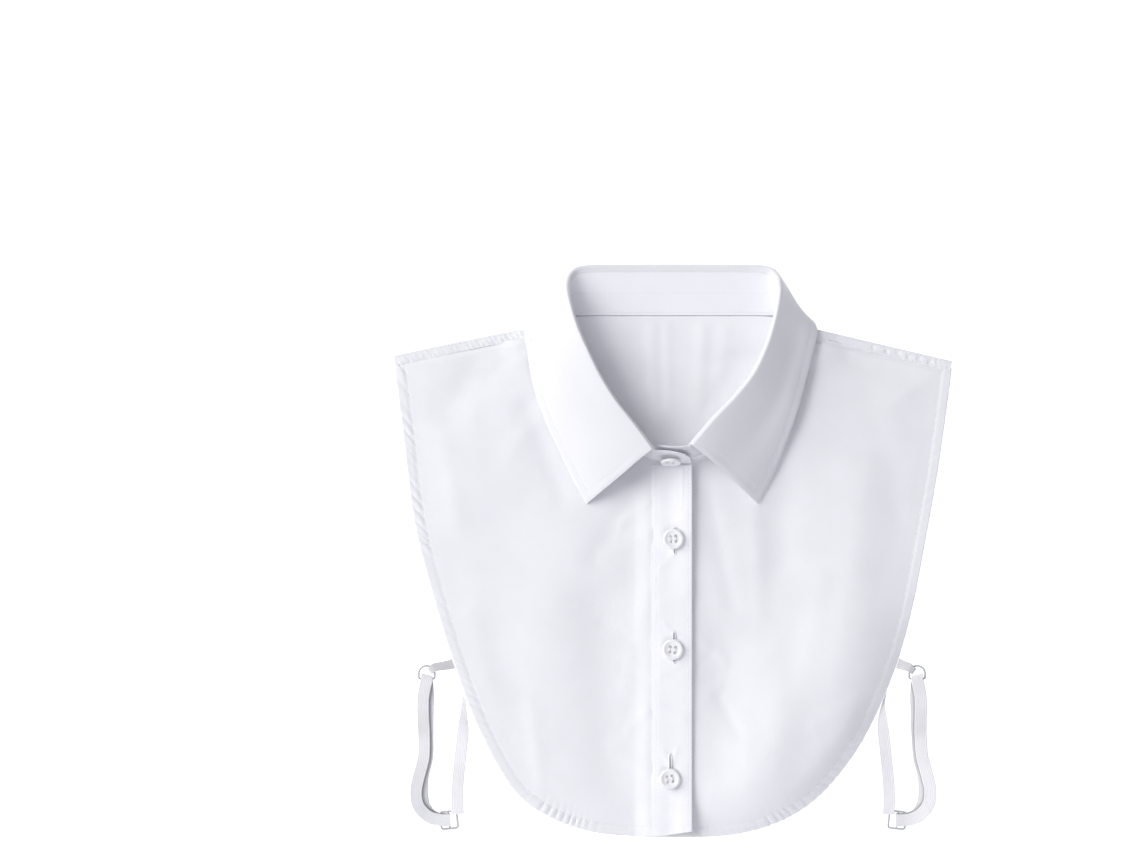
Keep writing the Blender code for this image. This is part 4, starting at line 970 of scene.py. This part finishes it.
def make_leaf():
    surface, from_edge, from_end, v = leaf_surface()
    normal = normals(surface)
    if normal[len(normal) // 2, 45, 2] > 0:
        normal = -normal
    # The leaf's own face looks away from the neck: up on the fronts, down under the back.
    free = np.minimum(from_edge, np.where(v > 12.0, from_end, 99.0))
    ridge = 0.14 * np.exp(-(((free - 1.6) / 1.6) ** 2)) - 0.16 * np.exp(-(((free - LEAF_STITCH) / 0.6) ** 2))
    run = np.arange(surface.shape[0])[:, None] * 1.4 + 0 * v
    ripple = 0.05 * pucker(run, 0 * run, 91, 5.2, 0.0) * np.exp(-((free - 3.0) / 3.0) ** 2)
    slack = 0.22 * blotch(run, v, 30.0, 95) * smooth(free / 10.0) * smooth((v - 16.0) / 10.0)
    wall = COLLAR_WALL - 0.25 + 2 * np.where(free < 20, ridge, 0.0)
    border = np.clip(free / 0.9, 0.0, 1.0)
    wall = wall * np.sqrt(np.maximum(1 - (1 - border) ** 2, 0.16))
    surface = surface + normal * (ripple + slack)[..., None]
    n, m = surface.shape[:2]
    uv = np.stack([run, v], axis=-1)
    made = shell("leaf_cloth", surface, wall, SHADED_LEAF_CLOTH, uv=uv, up=True, floor=0.0)
    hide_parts("collar_leaf")
    path, outs = [], []
    spread = normals(surface)
    if spread[..., 2].sum() < 0:
        spread = -spread

    def at(i, distance):
        row = from_edge[i][::-1]
        place = np.interp(distance, row, np.arange(m)[::-1])
        j = int(min(place, m - 2))
        t = place - j
        point = surface[i, j] * (1 - t) + surface[i, j + 1] * t
        out = spread[i, j] * (1 - t) + spread[i, j + 1] * t
        return point + out * (COLLAR_WALL - 0.35) / 2, out

    along_edge = [at(i, LEAF_STITCH) for i in range(4, n - 4)]
    path, outs = np.array([p for p, _ in along_edge]), np.array([o for _, o in along_edge])
    threads = [stitches("leaf_edge_stitches", path, outs, radius=0.13)]
    for number, i in enumerate((4, n - 5)):
        stretch = [at(i, d) for d in np.linspace(LEAF_STITCH, 50.0, 60)]
        path, outs = np.array([p for p, _ in stretch]), np.array([o for _, o in stretch])
        threads.append(stitches(f"leaf_end_stitches_{number + 1}", path, outs, radius=0.13))
    return made, threads


def make_stand():
    seam, fold, up, _ = collar_sections(12)
    top = fold - (LEAF_SEAM + 0.04) * up
    start, end = np.array(OUTER_END[::-1], float), np.array(INNER_END, float)
    seam_rows = np.concatenate([along(start[:, :3], np.linspace(0, 2, 13)), seam, along(end[:, :3], np.linspace(0, 2, 13))])
    top_rows = np.concatenate([along(start[:, 3:], np.linspace(0, 2, 13)), top, along(end[:, 3:], np.linspace(0, 2, 13))])
    share = np.linspace(0, 1, 22)[None, :, None]
    surface = seam_rows[:, None] * (1 - share) + top_rows[:, None] * share
    normal = normals(surface)
    n, m = surface.shape[:2]
    v = np.cumsum(np.linalg.norm(np.diff(surface, axis=1, prepend=surface[:, :1]), axis=-1), axis=1)
    run = np.cumsum(np.linalg.norm(np.diff(surface[:, 8], axis=0, prepend=surface[:1, 8]), axis=-1))[:, None] + 0 * v
    surface = surface + normal * (0.12 * blotch(run, v, 22.0, 101) * smooth(v / 4.0) * smooth((v[:, -1:] - v) / 4.0))[..., None]
    wall = (COLLAR_WALL - 0.2) * (1 + 0 * v)
    for place, depth in ((2.0, 0.12), (14.5, 0.08)):
        wall = wall - 2 * depth * np.exp(-(((v - place) / 0.6) ** 2))
    free = np.minimum(np.minimum(v, v[:, -1:] - v), np.minimum(run, run[-1:] - run))
    border = np.clip(free / 0.7, 0.0, 1.0)
    wall = wall * np.sqrt(np.maximum(1 - (1 - border) ** 2, 0.16))
    made = shell("stand_cloth", surface, wall, PRESSED, uv=np.stack([run, v], axis=-1), floor=0.3)
    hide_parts("collar_stand")
    out = normals(surface)
    threads = []
    for number, (place, side) in enumerate(((2.0, 1), (2.0, -1), (14.5, 1), (14.5, -1))):
        path, outs = [], []
        for i in range(3, n - 3):
            j = np.interp(place, v[i], np.arange(m))
            k = int(min(j, m - 2))
            t = j - k
            outward = side * (out[i, k] * (1 - t) + out[i, k + 1] * t)
            path.append(surface[i, k] * (1 - t) + surface[i, k + 1] * t + outward * (COLLAR_WALL - 0.3) / 2)
            outs.append(outward)
        threads.append(stitches(f"stand_stitches_{number + 1}", np.array(path), np.array(outs), radius=0.13))
    return made, threads


# Buttons and buttonholes


def button_mesh():
    profile = [
        (0.0, 0.05), (3.0, 0.05), (5.0, 0.12), (6.0, 0.35), (6.5, 0.75), (6.72, 1.15), (6.75, 1.5), (6.62, 1.82), (6.3, 2.06),
        (5.9, 2.18), (5.4, 2.19), (5.0, 2.13), (4.65, 2.0), (4.3, 1.86), (3.9, 1.77), (3.4, 1.73), (2.0, 1.72), (0.0, 1.72),
    ]
    shape = bmesh.new()
    corners = [shape.verts.new((r * MM, 0.0, z * MM)) for r, z in profile]
    edges = [shape.edges.new(pair) for pair in zip(corners, corners[1:])]
    bmesh.ops.spin(shape, geom=corners + edges, axis=(0, 0, 1), cent=(0, 0, 0), angle=math.tau, steps=72, use_merge=True)
    bmesh.ops.remove_doubles(shape, verts=shape.verts, dist=1e-6)
    bmesh.ops.recalc_face_normals(shape, faces=shape.faces)
    blank_mesh = bpy.data.meshes.new("button_blank")
    shape.to_mesh(blank_mesh)
    shape.free()
    cutters = bmesh.new()
    for a in (-1, 1):
        for b in (-1, 1):
            made = bmesh.ops.create_cone(
                cutters, cap_ends=True, segments=24, radius1=0.7 * MM, radius2=0.88 * MM, depth=3.4 * MM,
            )
            bmesh.ops.translate(cutters, verts=made["verts"], vec=(a * 1.75 * MM, b * 1.75 * MM, 0.2 * MM))
    cutter_mesh = bpy.data.meshes.new("button_holes")
    cutters.to_mesh(cutter_mesh)
    cutters.free()
    helpers = [bpy.data.objects.new("button_blank", blank_mesh), bpy.data.objects.new("button_cutter", cutter_mesh)]
    for helper in helpers:
        bpy.context.scene.collection.objects.link(helper)
    cut = helpers[0].modifiers.new("Holes", "BOOLEAN")
    cut.operation = "DIFFERENCE"
    cut.object = helpers[1]
    bpy.context.view_layer.update()
    drilled = bpy.data.meshes.new_from_object(helpers[0].evaluated_get(bpy.context.evaluated_depsgraph_get()))
    for helper in helpers:
        bpy.data.objects.remove(helper)
    drilled.materials.clear()
    drilled.materials.append(BUTTON)
    drilled.shade_smooth()
    drilled.set_sharp_from_angle(angle=math.radians(38))
    return drilled


def tube(path, radius, sides, closed=False):
    """Points and faces of a round tube along a path, given its radius at each point."""
    path = np.asarray(path, float)
    radius = np.broadcast_to(radius, len(path))
    if closed:
        tangent = np.roll(path, -1, axis=0) - np.roll(path, 1, axis=0)
    else:
        tangent = np.gradient(path, axis=0)
    tangent /= np.linalg.norm(tangent, axis=1)[:, None]
    reference = np.array([0.0, 0.0, 1.0])
    across = np.cross(tangent, reference)
    weak = np.linalg.norm(across, axis=1) < 0.2
    across[weak] = np.cross(tangent[weak], (1.0, 0.0, 0.0))
    across /= np.linalg.norm(across, axis=1)[:, None]
    over = np.cross(across, tangent)
    angles = np.arange(sides) * math.tau / sides
    ring = np.cos(angles)[None, :, None] * across[:, None] + np.sin(angles)[None, :, None] * over[:, None]
    points = (path[:, None] + ring * radius[:, None, None]).reshape(-1, 3)
    count = len(path)
    faces = []
    for i in range(count if closed else count - 1):
        for k in range(sides):
            a, b = i * sides + k, i * sides + (k + 1) % sides
            c, d = ((i + 1) % count) * sides + (k + 1) % sides, ((i + 1) % count) * sides + k
            faces.append((a, b, c, d))
    if not closed:
        faces.append(tuple(range(sides - 1, -1, -1)))
        faces.append(tuple((count - 1) * sides + k for k in range(sides)))
    return points, faces


def plain_mesh(name, points, faces, finish, uv=None):
    mesh = bpy.data.meshes.new(name)
    mesh.from_pydata([tuple(p) for p in np.asarray(points) * MM], [], [tuple(int(i) for i in f) for f in faces])
    layer = mesh.uv_layers.new(name="cloth")
    corner = np.empty(len(mesh.loops), np.int32)
    mesh.loops.foreach_get("vertex_index", corner)
    uv = np.asarray(points)[:, :2] if uv is None else np.asarray(uv)
    layer.data.foreach_set("uv", (uv[corner] * MM).ravel())
    mesh.shade_smooth()
    mesh.set_sharp_from_angle(angle=math.radians(50))
    mesh.materials.append(finish)
    return mesh


def thread_mesh():
    """Sewing thread of a button: two pairs of strands that dip into the holes, and the shank beneath."""
    points, faces = [], []
    for x in (-1.75, 1.75):
        for shift in (-0.24, 0.24):
            turn = np.linspace(-1, 1, 17)
            path = np.column_stack([
                x + shift * (1 - 0.5 * np.abs(turn)), turn * 1.6, 1.9 - 5.0 * np.maximum(np.abs(turn) - 0.66, 0) ** 1.3,
            ])
            more, made = tube(path, 0.16, 8)
            faces += [tuple(i + len(points) for i in f) for f in made]
            points += list(more)
        for y in (-1.75, 1.75):
            more, made = tube([(x, y, z) for z in (0.35, 0.8, 1.15, 1.25)], (0.5, 0.52, 0.5, 0.3), 12)
            faces += [tuple(i + len(points) for i in f) for f in made]
            points += list(more)
    return plain_mesh("button_thread", points, faces, THREAD)


def make_buttons():
    mesh, thread = button_mesh(), thread_mesh()
    places = []
    for number, (x, y) in enumerate(PLACKET_BUTTONS, 1):
        turn = np.linspace(0, math.tau, 16)
        rim = placket_under(x + BUTTON_RADIUS * np.cos(turn), y + BUTTON_RADIUS * np.sin(turn)) + WALL
        places.append((f"button_{number}", (x, y, rim.max() + GAP), (0.0, 0.0, math.radians((4, -7, 9)[number - 1]))))
    lean = math.radians(90 - STAND_BUTTON_LEAN)
    distance = COLLAR_WALL / 2 + GAP + 1.2
    at = (STAND_BUTTON[0], STAND_BUTTON[1] - math.sin(lean) * distance, STAND_BUTTON[2] + math.cos(lean) * distance)
    places.append(("button_stand", at, (lean, 0.0, 0.0)))
    for node, place, turn in places:
        made = bpy.data.objects.new(f"{node}_disc", mesh)
        sewn = bpy.data.objects.new(f"{node}_thread", thread)
        for piece in (made, sewn):
            piece.location = [value * MM for value in place]
            piece.rotation_euler = turn
            bpy.context.scene.collection.objects.link(piece)
            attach(piece, "root")
        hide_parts(node)


def make_buttonhole(number, x, top, bottom):
    """A slit with a dense satin edge, sewn along the placket."""
    half = (top - bottom) / 2
    middle = (top + bottom) / 2
    width = 0.85
    count = 240
    turn = np.arange(count) / count * 2 * (2 * half)
    ring = []
    for distance in turn:
        side = 1 if distance < 2 * half else -1
        reach = (distance % (2 * half)) - half
        narrow = width * min(1.0, math.sqrt(max(0.0, 1 - (abs(reach) / half) ** 6)) + 0.05)
        ring.append((x + side * narrow, middle + side * reach))
    ring = np.array(ring)
    height = placket_height(ring[:, 0], ring[:, 1]) + 0.02
    path = np.column_stack([ring, height])
    radius = 0.42 + 0.06 * np.cos(np.arange(count) * math.tau / 3.0)
    points, faces = tube(path, radius, 10, closed=True)
    mesh = plain_mesh(f"buttonhole_{number}", points, faces, THREAD)
    made = bpy.data.objects.new(f"buttonhole_{number}", mesh)
    bpy.context.scene.collection.objects.link(made)
    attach(made, "root")
    # A thin dark sheet down the slit: painted shade in the opening.
    y = np.linspace(middle - half + 0.9, middle + half - 0.9, 40)
    gap = 0.3 * np.sqrt(np.maximum(1 - ((y - middle) / half) ** 4, 0.05))
    grid = np.stack([
        np.column_stack([x + a * gap, y, placket_height(x + 0 * y, y) + 0.14 + 0 * y]) for a in (-1.0, 0.0, 1.0)
    ], axis=0)
    slit = shell(f"buttonhole_slit_{number}", grid, 0.1, SLIT_PAINTED_SHADE)


# Straps


def band_across(plan, tilt):
    tangent = np.gradient(plan, axis=0)
    tangent /= np.linalg.norm(tangent, axis=1)[:, None]
    tilt = np.radians(tilt)
    flat = np.stack([-tangent[:, 1], tangent[:, 0]], axis=1) * np.cos(tilt)[:, None]
    return np.column_stack([flat, -np.sin(tilt)])


def mirrored(values, side):
    return values * (-side, 1, 1)


def resample(values, count):
    """Rows spread evenly by the distance between their first three columns."""
    fine = along(values, np.linspace(0, len(values) - 1, 12 * len(values)))
    run = run_of(fine[:, :3])
    places = np.linspace(0, run[-1], count)
    return np.stack([np.interp(places, run, fine[:, k]) for k in range(fine.shape[1])], axis=1)


def make_band(name, centre, across, width, finish, node, count, tone=1.0, lap=0.0):
    """Elastic tape: lengthwise cords between its two bound edges.

    tone is painted shade that darkens it by its run, and lap is how far this layer shows past the one on it; along that
    strip a painted shadow of the layer on it darkens it.
    """
    spans = [np.broadcast_to(value, len(centre)) for value in (width, tone, lap)]
    rows = resample(np.column_stack([centre, across, *spans]), count)
    centre, across, width, tone, lap = rows[:, :3], rows[:, 3:6], rows[:, 6:7], rows[:, 7:8], rows[:, 8:9]
    across = across / np.linalg.norm(across, axis=1)[:, None]
    share = np.linspace(-1, 1, 31)
    surface = centre[:, None] + across[:, None] * (share * (width / 2 - 0.1))[..., None]
    run = run_of(centre)
    uv = np.stack([run[:, None] + 0 * share[None, :], share * width / 2], axis=-1)
    cords = STRAP_WALL - 0.1 + 0.12 * np.cos(share * math.pi * 7)
    cords = cords * np.sqrt(np.maximum(1 - np.clip((np.abs(share) - 0.93) / 0.07, 0, 1) ** 2, 0.2))
    wall = np.broadcast_to(cords[None, :], (count, len(share)))
    made = shell(name, surface, wall, finish, uv=uv, up=True, floor=0.0)
    # Painted shadow: where this layer shows past the one on it, its colour darkens next to that layer's edge; tone adds
    # painted shade along its run.
    into = share[None, :] * width / 2 - (width / 2 - lap)
    shade = tone * np.where(lap > 0.2, 1 - 0.42 * np.exp(-((np.maximum(into, 0.0) / 1.1) ** 2)), 1.0)
    layer = made.data.color_attributes.new("shade", "FLOAT_COLOR", "POINT")
    values = np.repeat(np.concatenate([shade.ravel()] * 2), 4).reshape(-1, 4)
    values[:, 3] = 1.0
    layer.data.foreach_set("color", values.ravel())
    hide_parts(node)
    return made


# How far the lower layer of the loop shows past the upper one, and the painted shade of the upper one (its colour
# darkened where it lies in shade), by height
LOOP_LAP = [(-175.0, 0.0), (-171.0, 2.4), (-163.0, 4.2), (-154.0, 4.2), (-143.0, 2.4), (-119.0, 2.2), (-106.0, 3.0), (-92.0, 3.2), (-84.0, 0.0)]
LOOP_PAINTED_SHADE = [(-175.0, 0.95), (-150.0, 1.0), (-122.0, 1.0), (-119.0, 0.9), (-107.0, 0.88), (-104.0, 0.98), (-84.0, 0.95)]
# Painted shade of the loop's lower layer, which lies in the shade of the upper one.
LOOP_LOWER_PAINTED_SHADE = 0.88
LIE_FLAT = 0.15  # the tape lies flatter than its solid
# Painted shade of the ribbed tab: its whole colour is darkened to stand for the shade among its ribs.
TAB_PAINTED_SHADE = 0.76


def ring_shift(side):
    """The right ring lies a little nearer to the fronts than the left one."""
    return RIGHT_RING_IN if side > 0 else 0.0


def make_loop_strap(side, word):
    rows = evenly(LOOP, 26)
    rows[:, 0] += ring_shift(side) * smooth((rows[:, 1] + 142) / 36)
    across = band_across(rows[:, :2], rows[:, 4] * LIE_FLAT)
    upper = rows[:, :3]
    normal = np.cross(np.gradient(upper, axis=0), across)
    normal /= np.linalg.norm(normal, axis=1)[:, None]
    lap = np.interp(rows[:, 1], *zip(*LOOP_LAP))
    lower = upper - normal * rows[:, 3:4] + across * lap[:, None]
    radius = LOOP[0][3] / 2
    bar = np.array([RING_CENTRE[0] + ring_shift(side), RING_CENTRE[1] - RING_BASE + 0.9, LOOP[0][2] - radius])
    turns = np.radians(np.array([70.0, 35.0, 0.0, -35.0, -70.0]))
    bend = np.stack([bar + radius * np.array([0.0, math.cos(a), math.sin(a)]) for a in turns])
    centre = np.concatenate([upper[::-1], bend, lower])
    vectors = np.concatenate([across[::-1], np.tile(across[0], (len(turns), 1)), across])
    bent = np.zeros(len(turns))
    # Painted shade along the loop: the upper layer by height, the bend slightly, the lower layer more.
    tone = np.concatenate([np.interp(rows[::-1, 1], *zip(*LOOP_PAINTED_SHADE)), bent + 0.95, LOOP_LOWER_PAINTED_SHADE + 0 * lap])
    laps = np.concatenate([0 * lap, bent, lap])
    centre, vectors = mirrored(centre, side), mirrored(vectors, side)
    make_band(f"loop_tape_{word}", centre, vectors, STRAP_WIDTH, ELASTIC, f"strap_loop_{word}", 260, tone, laps)


def edge_at(side, y):
    edge = evenly(EDGES[side], 400)
    k = int(np.argmin(np.abs(edge[:, 1] - y)))
    step = edge[k + 1] - edge[k - 1]
    return edge[k], step / np.linalg.norm(step)


def make_rear_strap(side, word):
    point, step = edge_at(side, REAR_START_Y)
    point, step = point * (-side, 1), step * (-side, 1)
    start = point + np.array([-1.0, -0.35]) * 0.4
    rows = evenly(np.array([(start[0], start[1], 0.6, 0.0)] + REAR), 14)
    across = band_across(rows[:, :2], rows[:, 3] * LIE_FLAT)
    turn = smooth(np.linspace(1, -1.4, len(rows)))[:, None]
    across = across * (1 - turn) + np.append(-step, 0.0) * np.sign(np.dot(-step, across[0, :2])) * turn
    across /= np.linalg.norm(across, axis=1)[:, None]
    name = f"rear_tape_{word}"
    make_band(name, mirrored(rows[:, :3], side), mirrored(across, side), STRAP_WIDTH, ELASTIC, f"strap_rear_{word}", 110)


def make_tab(side, word):
    point, step = edge_at(side, TAB_START_Y)
    point, step = point * (-side, 1), step * (-side, 1)
    out = np.array([step[1], -step[0]])
    out *= np.sign(-out[0])
    start = point + out * (GAP + 0.1)
    centre = np.array(RING_CENTRE) + (ring_shift(side), 0.0, 0.0)
    turn = math.radians(TAB_TURN)
    heading = np.array([math.cos(turn), math.sin(turn), 0.0])
    hold = centre + (0.0, -RING_LOW, 0.0) + heading * (RING_HALF - 1.5)
    start = np.array([start[0], start[1], 1.9])
    way = [start, start * 0.78 + (hold + (0.0, 0.0, 1.9)) * 0.22]
    for reach, height in ((3.4, 1.65), (1.0, 1.6), (-0.6, 1.15), (-1.1, 0.0), (-0.6, -1.15), (1.0, -1.6), (4.4, -1.6)):
        way.append(hold + heading * reach + (0.0, 0.0, height))
    way = np.array(way)
    side_on = np.array([-heading[1], heading[0], 0.0])
    across = np.tile(side_on, (len(way), 1))
    first = np.append(step * np.sign(np.dot(step, side_on[:2])), 0.0)
    across[0] = first
    across[1] = (first + side_on) / np.linalg.norm(first + side_on)
    width = np.interp(np.arange(len(way)), (0, 2, 3), (TAB_WIDTH, TAB_WIDTH - 0.8, TAB_HELD))
    way, across = mirrored(way, side), mirrored(across, side)
    make_band(f"tab_tape_{word}", way, across, width, ELASTIC, f"tab_{word}", 60, TAB_PAINTED_SHADE)


def frame_loop(half_x, half_y, corner, steps):
    points = []
    for cx, cy, first in ((1, 1, 0), (-1, 1, 90), (-1, -1, 180), (1, -1, 270)):
        for k in range(steps + 1):
            a = math.radians(first + 90 * k / steps)
            points.append((cx * (half_x - corner) + corner * math.cos(a), cy * (half_y - corner) + corner * math.sin(a), 0.0))
    return np.array(points)


def ring_loop(steps):
    points = []
    for k in range(3 * steps + 1):
        a = math.pi * k / (3 * steps)
        points.append((RING_HALF * math.cos(a), RING_HALF * math.sin(a) - RING_LOW, 0.0))
    for side, first in ((-1, 180), (1, 270)):
        for k in range(steps + 1):
            a = math.radians(first + 90 * k / steps)
            x = side * (RING_HALF - RING_CORNER) + RING_CORNER * math.cos(a)
            points.append((x, RING_CORNER - RING_BASE + RING_CORNER * math.sin(a), 0.0))
    return np.array(points)


def make_frame(name, node, loop, centre, turn, side, bar=0.0):
    loop = loop[np.linalg.norm(loop - np.roll(loop, 1, axis=0), axis=1) > 1e-6]
    points, faces = tube(loop, WIRE_RADIUS - 0.02, 18, closed=True)
    if bar:
        path = np.column_stack([np.zeros(9), np.linspace(-bar, bar, 9), np.zeros(9)])
        more, made = tube(path, 0.82 * WIRE_RADIUS, 14)
        faces = list(faces) + [tuple(i + len(points) for i in f) for f in made]
        points = np.concatenate([points, more])
    mesh = plain_mesh(name, points, faces, WIRE)
    made = bpy.data.objects.new(name, mesh)
    made.location = (-side * centre[0] * MM, centre[1] * MM, centre[2] * MM)
    made.rotation_euler = (0, 0, math.radians(-side * turn))
    bpy.context.scene.collection.objects.link(made)
    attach(made, "root")
    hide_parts(node)


def make_straps(side, word):
    make_tab(side, word)
    centre = (RING_CENTRE[0] + ring_shift(side), RING_CENTRE[1], RING_CENTRE[2])
    make_frame(f"ring_wire_{word}", f"ring_{word}", ring_loop(12), centre, 0.0, side)
    make_loop_strap(side, word)
    make_frame(f"slider_wire_{word}", f"slider_{word}", frame_loop(5.4, 5.6, 1.6, 10), SLIDER_CENTRE, SLIDER_TURN, side, bar=5.6)
    make_rear_strap(side, word)


# Studio


def make_stage():
    mesh = bpy.data.meshes.new("floor")
    size, z = 6.0, -0.0004
    mesh.from_pydata([(-size, -size, z), (size, -size, z), (size, size, z), (-size, size, z)], [], [(0, 1, 2, 3)])
    made, tree, shader = nodes_of("pale_floor")
    shader.inputs["Base Color"].default_value = (0.93, 0.93, 0.935, 1)
    shader.inputs["Roughness"].default_value = 0.9
    shader.inputs["Specular IOR Level"].default_value = 0.1
    shader.inputs["Emission Color"].default_value = (1, 1, 1, 1)
    shader.inputs["Emission Strength"].default_value = 0.62
    mesh.materials.append(made)
    floor = bpy.data.objects.new("floor", mesh)
    bpy.context.scene.collection.objects.link(floor)


def make_light(name, place, target, size, power, colour):
    data = bpy.data.lights.new(name, "AREA")
    data.shape = "DISK"
    data.size = size
    data.energy = power
    data.color = colour
    made = bpy.data.objects.new(name, data)
    made.location = place
    way = np.array(target) - np.array(place)
    length = np.linalg.norm(way)
    made.rotation_euler = (math.acos(-way[2] / length), 0.0, math.atan2(way[1], way[0]) + math.pi / 2 + math.pi)
    bpy.context.scene.collection.objects.link(made)


def make_studio():
    scene = bpy.context.scene
    scene.view_settings.view_transform = "Standard"
    scene.view_settings.look = "None"
    scene.view_settings.exposure = 0.0
    world = bpy.data.worlds.new("studio")
    world.use_nodes = True
    back = world.node_tree.nodes["Background"]
    back.inputs["Color"].default_value = (0.915, 0.92, 1.0, 1)
    back.inputs["Strength"].default_value = 0.32
    scene.world = world
    make_light("key", (-4.9, 1.9, 3.4), (0.0, 0.0, 0.0), 5.6, 408.0, (1.0, 0.993, 0.98))
    make_light("fill", (0.6, -3.6, 2.9), (0.0, 0.0, 0.0), 3.6, 70.0, (0.93, 0.935, 1.0))
    make_light("top", (0.0, 0.3, 6.0), (0.0, 0.0, 0.0), 3.0, 26.0, (0.93, 0.935, 1.0))
    camera = bpy.data.cameras.new("camera")
    camera.sensor_width = 36.0
    camera.lens = 36.0 * 3.996 / 0.7364
    camera.clip_end = 20.0
    made = bpy.data.objects.new("camera", camera)
    made.location = (-0.0666, 0.0796, 4.0)
    bpy.context.scene.collection.objects.link(made)
    scene.camera = made


left_front, left_threads = make_front(-1, "left")
right_front, right_threads = make_front(1, "right")
back, back_threads = make_back()
left_shoulder, left_shoulder_threads = make_shoulder(-1, "left")
right_shoulder, right_shoulder_threads = make_shoulder(1, "right")
placket, placket_threads = make_placket()
leaf, leaf_threads = make_leaf()
stand, stand_threads = make_stand()
make_buttons()
for hole_number, (hole_x, hole_top, hole_bottom) in enumerate(BUTTONHOLES, 1):
    make_buttonhole(hole_number, hole_x, hole_top, hole_bottom)
make_straps(-1, "left")
make_straps(1, "right")
make_stage()
make_studio()
